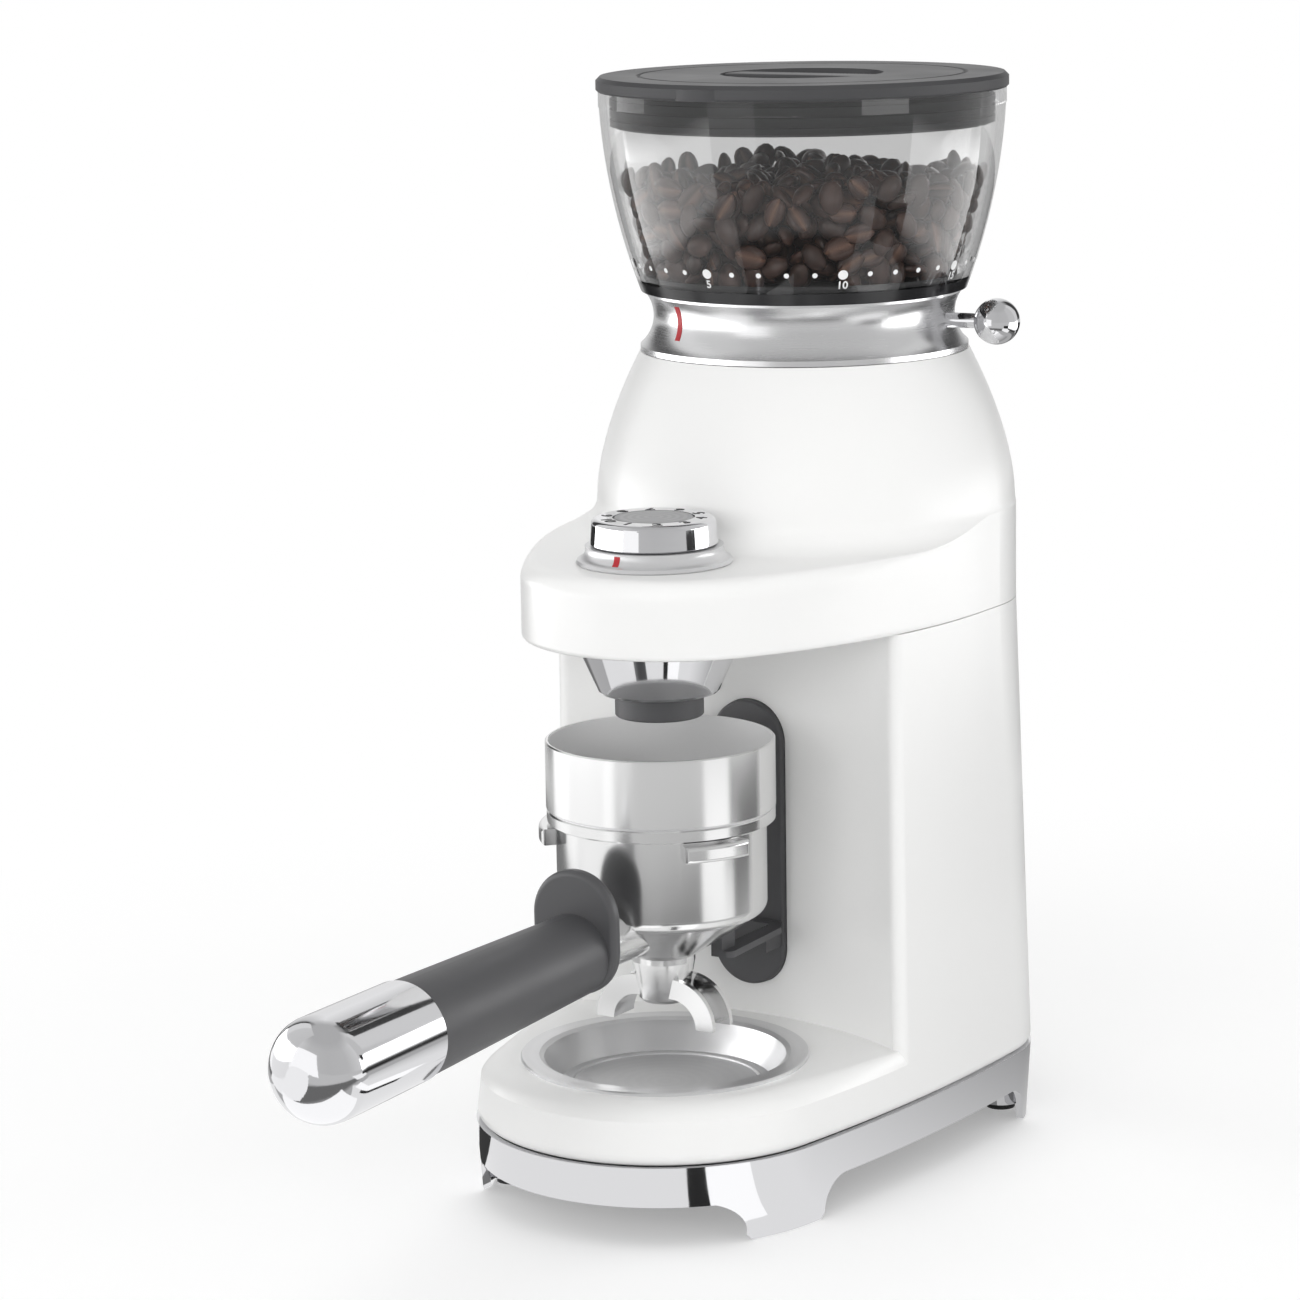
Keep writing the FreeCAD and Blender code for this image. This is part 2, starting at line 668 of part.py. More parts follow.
def arch_face(half, shoulder, to_point):
    """Opening between two legs: sloping leg sides and rounded shoulders, centred on zero."""
    rise = SKIRT_LOW_Z - LEG_FLOOR_Z
    bend = 1 - math.sqrt(0.5)
    left = [(-half, LEG_FLOOR_Z - CUT), (-half + shoulder * 0.2, LEG_FLOOR_Z + rise * 0.15),
            (-half + shoulder * (bend + 0.1), SKIRT_LOW_Z - rise * bend), (-half + shoulder, SKIRT_LOW_Z)]
    points = [to_point(u, z) for u, z in left]
    mirror = [to_point(-u, z) for u, z in left]
    return Part.Face(Part.Wire([
        line(points[0], points[1]),
        arc(points[1], points[2], points[3]),
        line(points[3], mirror[3]),
        arc(mirror[3], mirror[2], mirror[1]),
        line(mirror[1], mirror[0]),
        line(mirror[0], points[0]),
    ]))


def leg_centres():
    """Places of the four leg bosses, inside the skirt."""
    wall_inset = FRAME_TAPER + FRAME_WALL + BOSS_R - BOSS_EMBED
    front_reach, rear_reach = BASE_NOSE_R - wall_inset, BASE_CORNER_R - wall_inset
    front, rear = math.radians(LEG_FRONT_ANGLE), math.radians(LEG_REAR_ANGLE)
    corner = (BASE_HALF_WIDTH - BASE_CORNER_R, BASE_BACK_Y - BASE_CORNER_R)
    right = [(front_reach * math.cos(front), SPOUT_Y + front_reach * math.sin(front)),
             (corner[0] + rear_reach * math.cos(rear), corner[1] + rear_reach * math.sin(rear))]
    return right + [(-x, y) for x, y in right]


def skirt_loft(inset):
    floor = plan_wire(BASE_PLAN, FRAME_TAPER + inset, LEG_FLOOR_Z)
    return loft([floor, plan_wire(BASE_PLAN, inset, SKIRT_TOP_Z)])


def leg_arches():
    """What is cut from the skirt between the legs: front, rear and through both sides."""
    reach = 2 * BASE_NOSE_R
    front_y, rear_y = SPOUT_Y - reach, BASE_BACK_Y - BASE_CORNER_R
    middle = (SIDE_ARCH_FRONT_Y + SIDE_ARCH_REAR_Y) / 2
    half = (SIDE_ARCH_REAR_Y - SIDE_ARCH_FRONT_Y) / 2
    front = arch_face(FRONT_ARCH_HALF, FRONT_SHOULDER, lambda u, z: V(u, front_y, z))
    rear = arch_face(REAR_ARCH_HALF, SIDE_SHOULDER, lambda u, z: V(u, rear_y, z))
    side = arch_face(half, SIDE_SHOULDER, lambda u, z: V(-reach, middle + u, z))
    return [front.extrude(V(0, reach, 0)), rear.extrude(V(0, reach, 0)), side.extrude(V(2 * reach, 0, 0))]


def frame_lip():
    """Ledge and lip round the top of the frame, which the housing drops over."""
    low, top = SKIRT_TOP_Z - 2 * LIP_THICK, SKIRT_TOP_Z + LIP_HEIGHT
    inset = WALL + LIP_SETBACK
    ledge = prism(BASE_PLAN, FRAME_WALL / 2, low, SKIRT_TOP_Z)
    lip = prism(BASE_PLAN, inset, SKIRT_TOP_Z, top)
    return ledge.fuse(lip).cut(prism(BASE_PLAN, inset + LIP_THICK, low - CUT, top + CUT))


def base_frame():
    """Chrome skirt on four legs, with bosses for the cover's screws."""
    skirt = skirt_loft(0.0).cut(skirt_loft(FRAME_WALL))
    for arch in leg_arches():
        skirt = skirt.cut(arch)
    bosses = [rod(BOSS_R, PAD_HEIGHT, COVER_Z, x, y) for x, y in leg_centres()]
    holes = [rod(SCREW_R, COVER_Z / 2, COVER_Z + CUT, x, y) for x, y in leg_centres()]
    return fused([skirt, frame_lip()] + bosses).cut(Part.makeCompound(holes))


def foot_pads():
    return Part.makeCompound([rod(PAD_R, 0.0, PAD_HEIGHT, x, y) for x, y in leg_centres()])


def bottom_cover():
    """Plate that closes the base, with vent slots under the motor."""
    plate = prism(BASE_PLAN, FRAME_TAPER + FRAME_WALL + SLIP, COVER_Z, COVER_Z + COVER_THICK)
    low, high = COVER_Z - CUT, COVER_Z + COVER_THICK + CUT
    half = VENT_LENGTH / 2
    slots = []
    for index in range(VENTS):
        y = MOTOR_Y + (index - (VENTS - 1) / 2.0) * VENT_PITCH
        slots.append(block(-half, half, y - VENT_WIDTH / 2, y + VENT_WIDTH / 2, low, high))
    holes = [rod(SCREW_R + SLIP, low, high, x, y) for x, y in leg_centres()]
    return plate.cut(Part.makeCompound(slots + holes))


def screw(x, y, seat_z, length):
    """Pan-head screw driven down into a boss below seat_z."""
    head = rod(SCREW_HEAD_R, seat_z, seat_z + SCREW_HEAD, x, y)
    return head.fuse(rod(SCREW_R - RUN, seat_z - length, seat_z, x, y))


def cover_screws():
    seat = COVER_Z + COVER_THICK
    length = COVER_THICK + COVER_Z / 2 - SCREW_ROOM
    return Part.makeCompound([screw(x, y, seat, length) for x, y in leg_centres()])


def drive_screws():
    seat = PLATE_Z + DRIVE_PLATE_THICK
    length = DRIVE_PLATE_THICK + POST_HEIGHT / 2 - SCREW_ROOM
    return Part.makeCompound([screw(x, y, seat, length) for x, y in drive_posts()])


def drive_plate():
    """Steel plate on the housing posts: the motor hangs from it and the gears run on it."""
    low, high = PLATE_Z - CUT, PLATE_Z + DRIVE_PLATE_THICK + CUT
    plate = prism(column_plan(PLATE_Z), WALL + DRIVE_PLATE_GAP, PLATE_Z, PLATE_Z + DRIVE_PLATE_THICK)
    niche = rod(NICHE_R + 3 * WALL, low, high, 0, NICHE_CENTRE_Y)
    bores = [rod(BEARING_R, low, high), rod(2 * MOTOR_SHAFT_R, low, high, 0, MOTOR_Y)]
    holes = [rod(SCREW_R + SLIP, low, high, x, y) for x, y in drive_posts()]
    return plate.cut(niche).cut(Part.makeCompound(bores + holes))


def bearing(z0):
    """Plain sleeve bearing."""
    return tube(BEARING_R, SHAFT_R + RUN, z0, z0 + BEARING_HEIGHT)


def gear(module, teeth, z0, x, y, phase):
    """Spur gear with straight-sided teeth; phase turns a tooth to that angle in degrees."""
    pitch_r = module * teeth / 2.0
    root_r, tip_r = pitch_r - TOOTH_IN * module, pitch_r + TOOTH_OUT * module
    step = 2 * math.pi / teeth
    flanks = ((root_r, -TOOTH_ROOT), (tip_r, -TOOTH_TIP), (tip_r, TOOTH_TIP), (root_r, TOOTH_ROOT))
    points = []
    for tooth in range(teeth):
        centre = math.radians(phase) + tooth * step
        for radius, share in flanks:
            angle = centre + share * step
            points.append(V(x + radius * math.cos(angle), y + radius * math.sin(angle), z0))
    outline = Part.makePolygon(points + [points[0]])
    return Part.Face(outline).extrude(V(0, 0, GEAR_WIDTH))


def drive_gear():
    low, high = GEAR_Z - CUT, GEAR_Z + GEAR_WIDTH + CUT
    wheel = gear(GEAR_MODULE, GEAR_TEETH, GEAR_Z, 0.0, 0.0, 90.0 + 180.0 / GEAR_TEETH)
    lightened = around(rod(GEAR_R * 0.2, low, high, GEAR_R * 0.58, 0), GEAR_HOLES)
    return wheel.cut(rod(SHAFT_R, low, high)).cut(Part.makeCompound(lightened))


def pinion():
    wheel = gear(GEAR_MODULE, PINION_TEETH, GEAR_Z, 0.0, MOTOR_Y, -90.0)
    return wheel.cut(rod(MOTOR_SHAFT_R, GEAR_Z - CUT, GEAR_Z + GEAR_WIDTH + CUT, 0, MOTOR_Y))


def gearbox_cover():
    """Cup over the two gears, standing on the drive plate."""
    z0, z1 = PLATE_Z + DRIVE_PLATE_THICK, GEARBOX_TOP_Z
    gear_room = GEAR_R + 2 * GEAR_MODULE
    pinion_room = PINION_R + 2 * GEAR_MODULE
    outer = rod(gear_room + GEARBOX_WALL, z0, z1).fuse(rod(pinion_room + GEARBOX_WALL, z0, z1, 0, MOTOR_Y))
    top = z1 - GEARBOX_WALL
    inner = rod(gear_room, z0 - CUT, top).fuse(rod(pinion_room, z0 - CUT, top, 0, MOTOR_Y))
    return outer.cut(inner).cut(rod(SHAFT_R + SLIP, z0, z1 + CUT))


def motor_can():
    """Motor shell hanging under the drive plate."""
    z0 = PLATE_Z - MOTOR_LENGTH
    shell = rod(MOTOR_R, z0, PLATE_Z, 0, MOTOR_Y)
    hollow = rod(MOTOR_R - MOTOR_WALL, z0 + 2 * MOTOR_WALL, PLATE_Z - 2 * MOTOR_WALL, 0, MOTOR_Y)
    bore = rod(MOTOR_SHAFT_R + RUN, z0 - CUT, PLATE_Z + CUT, 0, MOTOR_Y)
    half, low = MOTOR_VENT_WIDTH / 2, z0 + MOTOR_VENT_Z
    vent = block(MOTOR_R / 2, MOTOR_R + CUT, MOTOR_Y - half, MOTOR_Y + half, low, low + MOTOR_VENT_HEIGHT)
    return shell.cut(hollow).cut(bore).cut(Part.makeCompound(around(vent, MOTOR_VENTS, MOTOR_Y)))


def motor_shaft():
    low = PLATE_Z - MOTOR_LENGTH - FAN_HEIGHT - 2 * SHAFT_PROUD
    return rod(MOTOR_SHAFT_R, low, GEAR_Z + GEAR_WIDTH + SHAFT_PROUD, 0, MOTOR_Y)


def rotor_core():
    """Wound core inside the motor, with its slots."""
    z1 = PLATE_Z - ROTOR_DROP
    z0 = z1 - ROTOR_LENGTH
    core = tube(ROTOR_R, MOTOR_SHAFT_R, z0, z1, 0, MOTOR_Y)
    half = ROTOR_SLOT_WIDTH / 2
    slot = block(ROTOR_R * 0.7, ROTOR_R + CUT, MOTOR_Y - half, MOTOR_Y + half, z0 - CUT, z1 + CUT)
    return core.cut(Part.makeCompound(around(slot, ROTOR_SLOTS, MOTOR_Y)))


def motor_fan():
    """Cooling fan below the motor."""
    z1 = PLATE_Z - MOTOR_LENGTH - 3 * SEAM
    z0 = z1 - FAN_HEIGHT
    half = FAN_SHEET / 2
    hub = rod(FAN_R * 0.3, z0, z1, 0, MOTOR_Y).fuse(rod(FAN_R, z0, z0 + FAN_SHEET, 0, MOTOR_Y))
    blade = block(0, FAN_R - FAN_SHEET, MOTOR_Y - half, MOTOR_Y + half, z0, z1)
    fan = fused([hub] + around(blade, FAN_BLADES, MOTOR_Y))
    return fan.cut(rod(MOTOR_SHAFT_R, z0 - CUT, z1 + CUT, 0, MOTOR_Y))


def burr_shaft():
    return rod(SHAFT_R, PLATE_Z, INNER_BURR_Z + INNER_BURR_HEIGHT + NUT_HEIGHT)


def chamber_pillars():
    angle = math.radians(PILLAR_ANGLE)
    pillar = rod(PILLAR_R, PLATE_Z + DRIVE_PLATE_THICK, CHAMBER_Z,
                 PILLAR_RING_R * math.cos(angle), PILLAR_RING_R * math.sin(angle))
    return Part.makeCompound(around(pillar, PILLARS))


def grind_chamber():
    """Cast cup round the burrs, open at the front into the chute and slotted for the carrier pins."""
    cup = rod(CHAMBER_R, CHAMBER_Z, CHAMBER_TOP_Z)
    cup = cup.cut(rod(CHAMBER_BORE_R, CHAMBER_FLOOR_Z, CHAMBER_TOP_Z + CUT))
    hub = rod(BEARING_R + CHAMBER_FLOOR, CHAMBER_Z - BEARING_HEIGHT + CHAMBER_FLOOR, CHAMBER_Z + CUT)
    half = CHUTE_WIDTH / 2 - CHUTE_WALL
    outlet = block(-half, half, -CHAMBER_R - CUT, 0, CHUTE_START_Z + CHUTE_WALL,
                   CHUTE_START_Z + CHUTE_HEIGHT - CHUTE_WALL)
    bore = rod(BEARING_R, CHAMBER_Z - BEARING_HEIGHT, CHAMBER_FLOOR_Z + CUT)
    pin_half = CARRIER_PIN_R + SLIP
    slot = block(CHAMBER_BORE_R - CUT, CHAMBER_R + CUT, -pin_half, pin_half,
                 CARRIER_PIN_Z - pin_half - SLIP, CARRIER_PIN_Z + pin_half + CARRIER_TRAVEL)
    slots = Part.makeCompound(around(slot, CARRIER_PINS))
    return cup.fuse(hub).cut(outlet).cut(bore).cut(slots)


def star(radius, depth, teeth, z, phase):
    """Closed toothed outline: a point at each tooth and a valley behind it."""
    points = []
    for index in range(teeth):
        for share, reach in ((0.0, radius), (0.18, radius - depth)):
            angle = math.radians(phase) + 2 * math.pi * (index + share) / teeth
            points.append(V(reach * math.cos(angle), reach * math.sin(angle), z))
    return Part.makePolygon(points + [points[0]])


def inner_burr():
    """Conical burr with slanting teeth."""
    z1 = INNER_BURR_Z + INNER_BURR_HEIGHT
    lower = star(INNER_BURR_R, BURR_TOOTH, INNER_BURR_TEETH, INNER_BURR_Z, 0.0)
    upper = star(INNER_BURR_TOP_R, BURR_TOOTH, INNER_BURR_TEETH, z1, BURR_TWIST)
    return Part.makeLoft([lower, upper], True, True).cut(rod(SHAFT_R, INNER_BURR_Z - CUT, z1 + CUT))


def inner_burr_radius(z):
    share = (z - INNER_BURR_Z) / INNER_BURR_HEIGHT
    return INNER_BURR_R + (INNER_BURR_TOP_R - INNER_BURR_R) * share


def outer_burr():
    """Ring burr; its teeth clear the inner burr by the grinding gap."""
    z0, z1 = OUTER_BURR_Z, OUTER_BURR_Z + OUTER_BURR_HEIGHT
    depth = -BURR_TOOTH / 2
    lower = star(inner_burr_radius(z0) + BURR_GAP, depth, OUTER_BURR_TEETH, z0, 0.0)
    upper = star(inner_burr_radius(z1) + BURR_GAP + BURR_MOUTH, depth, OUTER_BURR_TEETH, z1, -BURR_TWIST / 2)
    hole = Part.makeLoft([lower, upper], True, True)
    return rod(OUTER_BURR_R, z0, z1).cut(hole)


def burr_nut():
    z0 = INNER_BURR_Z + INNER_BURR_HEIGHT
    corners = [V(NUT_R * math.cos(math.pi / 3 * k), NUT_R * math.sin(math.pi / 3 * k), z0) for k in range(7)]
    nut = Part.Face(Part.makePolygon(corners)).extrude(V(0, 0, NUT_HEIGHT - CUT))
    return nut.cut(rod(SHAFT_R, z0 - CUT, z0 + NUT_HEIGHT))


def impeller():
    """Sweeper on the chamber floor that pushes the grounds to the chute."""
    z0 = CHAMBER_FLOOR_Z + SEAM
    reach, half = CHAMBER_BORE_R - IMPELLER_GAP, IMPELLER_SHEET / 2
    disc = rod(reach, z0, z0 + IMPELLER_SHEET).fuse(rod(SHAFT_R + IMPELLER_HUB_WALL, z0, INNER_BURR_Z))
    vane = block(0, reach - half, -half, half, z0, z0 + IMPELLER_HEIGHT)
    return fused([disc] + around(vane, IMPELLER_VANES)).cut(rod(SHAFT_R, z0 - CUT, INNER_BURR_Z + CUT))


def burr_carrier():
    """Holder of the ring burr; slides in the chamber and is raised by its pins."""
    seat_z = OUTER_BURR_Z + OUTER_BURR_HEIGHT
    outer_r = CHAMBER_BORE_R - SLIP
    body = rod(outer_r, CARRIER_Z, CARRIER_TOP_Z)
    seat = rod(OUTER_BURR_R, CARRIER_Z - CUT, seat_z)
    low, high = seat_z - CUT, CARRIER_TOP_Z + CUT
    throat = turned([(0, low), (CARRIER_THROAT_R, low), (CARRIER_THROAT_R, seat_z + 2 * CUT),
                     (outer_r - CARRIER_RIM, high), (0, high)])
    return body.cut(seat).cut(throat).cut(Part.makeCompound(pin_group()))


def pin_group():
    start = CHAMBER_BORE_R - SLIP - CARRIER_PIN_GRIP
    end = CAM_RING_R - CAM_RING_WALL + CAM_GROOVE - 3 * SEAM
    pin = Part.makeCylinder(CARRIER_PIN_R, end - start, V(start, 0, CARRIER_PIN_Z), V(1, 0, 0))
    return around(pin, CARRIER_PINS)


def carrier_pins():
    return Part.makeCompound(pin_group())


def cam_ring():
    """Ring under the collar whose groove lifts the carrier pins."""
    inner_r = CAM_RING_R - CAM_RING_WALL
    flange_r, flange_z = COLLAR_BORE_R - RUN, COLLAR_Z + SEAM
    body = turned([(inner_r, CAM_RING_LOW_Z), (CAM_RING_R, CAM_RING_LOW_Z), (CAM_RING_R, flange_z),
                   (flange_r, flange_z), (flange_r, flange_z + CAM_FLANGE), (inner_r, flange_z + CAM_FLANGE)])
    low = CARRIER_PIN_Z - CARRIER_PIN_R - 2 * SLIP
    high = CARRIER_PIN_Z + CARRIER_PIN_R + CARRIER_TRAVEL + SLIP
    return body.cut(rod(inner_r + CAM_GROOVE, low, high))


def adjust_collar():
    """Polished collar with a waist; it turns on the head and carries the lever."""
    foot, edge = COLLAR_Z + COLLAR_FOOT, COLLAR_TOP_Z - COLLAR_EDGE
    waist_z = COLLAR_Z + COLLAR_HEIGHT * COLLAR_WAIST
    body = turned([(COLLAR_BORE_R, COLLAR_Z), (DOME_TOP_R, COLLAR_Z), (DOME_TOP_R, foot),
                   ((COLLAR_WAIST_R, waist_z), (COLLAR_TOP_R, edge)), (COLLAR_TOP_R, COLLAR_TOP_Z),
                   (COLLAR_BORE_R, COLLAR_TOP_Z)])
    return body.cut(lever_bar(COLLAR_BORE_R - CUT, DOME_TOP_R))


def lever_bar(start, end):
    angle = math.radians(LEVER_ANGLE)
    out = V(math.cos(angle), math.sin(angle), 0)
    return Part.makeCylinder(LEVER_ROD_R, end - start, out * start + V(0, 0, LEVER_Z), out)


def lever_rod():
    return lever_bar(COLLAR_BORE_R + SEAM, LEVER_REACH)


def lever_ball():
    angle = math.radians(LEVER_ANGLE)
    centre = V(LEVER_REACH * math.cos(angle), LEVER_REACH * math.sin(angle), LEVER_Z)
    return Part.makeSphere(LEVER_BALL_R, centre).cut(lever_rod())


def hopper_seat():
    """Fixed tube through the collar that the hopper stands on."""
    inner_r, flange_r = SEAT_TUBE_R - SEAT_TUBE_WALL, COLLAR_BORE_R - 2 * SEAM
    flange_z = HOPPER_Z - SEAT_FLANGE
    return turned([(inner_r, CHAMBER_TOP_Z), (SEAT_TUBE_R, CHAMBER_TOP_Z), (SEAT_TUBE_R, flange_z),
                   (flange_r, flange_z), (flange_r, HOPPER_Z), (inner_r, HOPPER_Z)])


def hopper_radius(z):
    share = (z - HOPPER_Z) / (HOPPER_TOP_Z - HOPPER_Z)
    return HOPPER_FOOT_R + (HOPPER_RIM_R - HOPPER_FOOT_R) * share + HOPPER_BULGE * 4 * share * (1 - share)


def hopper():
    """Clear hopper wall with a thicker rim."""
    low, mid, rim = HOPPER_Z + HOPPER_BAND, (HOPPER_Z + HOPPER_TOP_Z) / 2, HOPPER_TOP_Z - HOPPER_RIM_BAND
    outer = [(hopper_radius(z), z) for z in (low, mid, rim)]
    inner = [(r - HOPPER_WALL, z) for r, z in outer]
    top_r = HOPPER_RIM_R - HOPPER_WALL
    return turned([inner[0], outer[0], (outer[1], outer[2]), (HOPPER_RIM_R, rim),
                   (HOPPER_RIM_R, HOPPER_TOP_Z), (top_r, HOPPER_TOP_Z), (top_r, rim),
                   inner[2], (inner[1], inner[0])])


def hopper_base():
    """Dark foot of the hopper: a sloping floor and the throat that drops into the seat."""
    top, floor = HOPPER_Z + HOPPER_BAND, HOPPER_Z + HOPPER_FLOOR
    low = HOPPER_Z - HOPPER_THROAT_DROP
    edge_r = hopper_radius(top)
    inside_r = edge_r - HOPPER_WALL - SLIP
    throat_r = HOPPER_THROAT_R + HOPPER_THROAT_WALL
    return turned([(HOPPER_THROAT_R, low), (throat_r, low), (throat_r, HOPPER_Z), (HOPPER_FOOT_R, HOPPER_Z),
                   (edge_r, top), (inside_r, top), (inside_r, top + HOPPER_SPIGOT),
                   (throat_r, floor), (HOPPER_THROAT_R, floor)])


def seal_radius():
    """Outside of the lid's seal, which fits the hopper at the plug's lower end."""
    return hopper_radius(HOPPER_TOP_Z - LID_PLUG) - HOPPER_WALL - SEAL_GAP


def lid_form():
    """Turned lid: its plug, a bevelled rim, a shallow groove and the dish of the grip."""
    z0, z1 = HOPPER_TOP_Z, HOPPER_TOP_Z + LID_THICK
    plug_r, plug_z = seal_radius() - SEAL_THICK, HOPPER_TOP_Z - LID_PLUG
    dish_z = z1 - LID_GRIP_DEPTH
    return turned([(0, z0), (plug_r - LID_PLUG_WALL, z0), (plug_r - LID_PLUG_WALL, plug_z), (plug_r, plug_z),
                   (plug_r, z0), (LID_R - LID_BEVEL / 2, z0), (LID_R, z0 + LID_BEVEL / 2),
                   (LID_R, z1 - LID_BEVEL), (LID_R - LID_BEVEL, z1),
                   (LID_GROOVE_R + LID_GROOVE, z1), (LID_GROOVE_R, z1 - LID_GROOVE),
                   (LID_GROOVE_R - LID_GROOVE, z1), (LID_GRIP_R, z1), (LID_GRIP_R - LID_BEVEL, dish_z),
                   (0, dish_z)])


def hopper_lid():
    """Lid with a bar across its dished grip and a finger lip at the front."""
    z0, z1 = HOPPER_TOP_Z, HOPPER_TOP_Z + LID_THICK
    dish_z, half = z1 - LID_GRIP_DEPTH, LID_GRIP_BAR / 2
    reach = math.sqrt(LID_GRIP_R ** 2 - half ** 2) + SEAM
    bar = block(-reach, reach, -half, half, dish_z, z1 - SEAM)
    long_edges = [e for e in bar.Edges if e.Length > reach and e.CenterOfMass.z > dish_z + CUT]
    lip = rod(LID_LIP_R, z0, z1 - LID_BEVEL, 0, -LID_R - LID_LIP_OUT + LID_LIP_R)
    return fused([lid_form(), bar.makeFillet(LID_BEVEL, long_edges), lip])


def lid_seal():
    """Ribbed ring on the lid's plug."""
    outer_r = seal_radius()
    inner_r, valley_r = outer_r - SEAL_THICK, outer_r - SEAL_THICK / 2
    z0 = HOPPER_TOP_Z - LID_PLUG + SEAL_MARGIN
    rib = (LID_PLUG - 2 * SEAL_MARGIN) / SEAL_RIBS
    path = [(inner_r, z0)]
    for index in range(SEAL_RIBS):
        low = z0 + index * rib
        crest = low + rib * SEAL_CREST
        path += [(outer_r, low), (outer_r, crest), (valley_r, crest), (valley_r, low + rib)]
    return turned(path + [(inner_r, z0 + SEAL_RIBS * rib)])


def knob_bezel():
    """Stepped flare under the knob."""
    z0, z1 = SHELF_TOP_Z, SHELF_TOP_Z + BEZEL_HEIGHT
    bore_r = KNOB_SHAFT_R + SLIP
    return turned([(bore_r, z0), (BEZEL_R - KNOB_EDGE, z0), (BEZEL_R, z0 + KNOB_EDGE),
                   (BEZEL_R - KNOB_EDGE, z0 + BEZEL_STEP),
                   ((BEZEL_TOP_R + KNOB_EDGE, z0 + BEZEL_HEIGHT / 2), (BEZEL_TOP_R, z1)),
                   (bore_r, z1)], KNOB_Y)


def button_pocket():
    """Floor of the pocket in the dial, below the pressed button."""
    return KNOB_TOP_Z - BUTTON_THICK - BUTTON_TRAVEL - SEAM


def dose_knob():
    """Dial with a rounded top edge and a pocket for the button."""
    pocket, wall_r = button_pocket(), BUTTON_R + SLIP
    crown = KNOB_CROWN * (1 - math.sqrt(0.5))
    top_r = KNOB_R - KNOB_EDGE
    return turned([(KNOB_SHAFT_R, KNOB_Z), (KNOB_R - KNOB_EDGE, KNOB_Z), (KNOB_R, KNOB_Z + KNOB_EDGE),
                   (top_r, KNOB_TOP_Z - KNOB_CROWN),
                   ((top_r - crown, KNOB_TOP_Z - crown), (top_r - KNOB_CROWN, KNOB_TOP_Z)),
                   (wall_r, KNOB_TOP_Z), (wall_r, pocket), (KNOB_SHAFT_R, pocket)], KNOB_Y)


def knob_shaft():
    return rod(KNOB_SHAFT_R, SHELF_TOP_Z - WALL - ENCODER_HEIGHT + ENCODER_FLOOR, button_pocket(), 0, KNOB_Y)


def start_button():
    """Press button in the middle of the dial."""
    z0, z1 = KNOB_TOP_Z - BUTTON_THICK, KNOB_TOP_Z
    edge = [(BUTTON_R, z0), (BUTTON_R, z1 - KNOB_EDGE), (BUTTON_R - KNOB_EDGE, z1)]
    return turned([(0, z0)] + edge + [(0, z1)], KNOB_Y)


def encoder():
    """Switch under the shelf that the knob's shaft runs in."""
    z1 = SHELF_TOP_Z - WALL
    half = ENCODER_SIZE / 2
    body = block(-half, half, KNOB_Y - half, KNOB_Y + half, z1 - ENCODER_HEIGHT, z1)
    return body.cut(rod(KNOB_SHAFT_R + RUN, z1 - ENCODER_HEIGHT + ENCODER_FLOOR - RUN, z1 + CUT, 0, KNOB_Y))


def outlet_cone():
    """Polished cone under the shelf."""
    z0, z1 = CONE_LOW_Z, HEAD_Z + SEAM
    bore_r = NOZZLE_R + SLIP
    return turned([(bore_r, z0), (CONE_LOW_R - CONE_EDGE, z0), (CONE_LOW_R, z0 + CONE_EDGE), (CONE_TOP_R, z1),
                   (CONE_TOP_R - CONE_RIM, z1), (bore_r, z0 + NOZZLE_GRIP + CONE_EDGE)], SPOUT_Y)


def outlet_nozzle():
    """Soft dark tube held in the cone."""
    top, inner_r = CONE_LOW_Z + NOZZLE_GRIP, NOZZLE_R - NOZZLE_WALL
    return turned([(inner_r, NOZZLE_LOW_Z), (NOZZLE_R - NOZZLE_EDGE, NOZZLE_LOW_Z),
                   (NOZZLE_R, NOZZLE_LOW_Z + NOZZLE_EDGE), (NOZZLE_R, top), (inner_r, top)], SPOUT_Y)


def chute_form(inset, low_z):
    """Sloping duct from the chamber to a tube over the nozzle, drawn in by inset."""
    half = CHUTE_WIDTH / 2 - inset
    ends = []
    for y, z, height in ((-CHAMBER_BORE_R, CHUTE_START_Z, CHUTE_HEIGHT),
                         (SPOUT_Y - half, CHUTE_LOW_Z, CHUTE_LOW_HEIGHT)):
        low, high = z + inset, z + height - inset
        corners = [V(-half, y, low), V(half, y, low), V(half, y, high), V(-half, y, high)]
        ends.append(Part.makePolygon(corners + [corners[0]]))
    drop = rod(CHUTE_TUBE_R - inset, low_z, CHUTE_LOW_Z + CHUTE_LOW_HEIGHT / 2, 0, SPOUT_Y)
    return Part.makeLoft(ends, True, True).fuse(drop)


def chute():
    low = HEAD_Z + SEAM
    duct = chute_form(0.0, low).cut(chute_form(CHUTE_WALL, low - CUT))
    return duct.cut(rod(CHAMBER_R, CHAMBER_Z, CHAMBER_TOP_Z))


def fork_plate():
    """Dark plate in the niche; a flange behind the wall holds it."""
    back_y = NICHE_Y + WALL + SEAM
    face = stadium(PLATE_HALF_WIDTH, PLATE_LOW_Z, PLATE_TOP_Z, PLATE_FRONT_Y, back_y)
    rim = [e for e in face.Edges if abs(e.CenterOfMass.y - PLATE_FRONT_Y) < 1e-6]
    face = face.makeFillet(PLATE_EDGE_R, rim)
    flange = stadium(PLATE_HALF_WIDTH + PLATE_FLANGE, PLATE_LOW_Z - PLATE_FLANGE, PLATE_TOP_Z + PLATE_FLANGE,
                     back_y, back_y + PLATE_FLANGE_THICK)
    return fused([face, flange]).cut(Part.makeCompound(fork_bores(SCREW_R)))


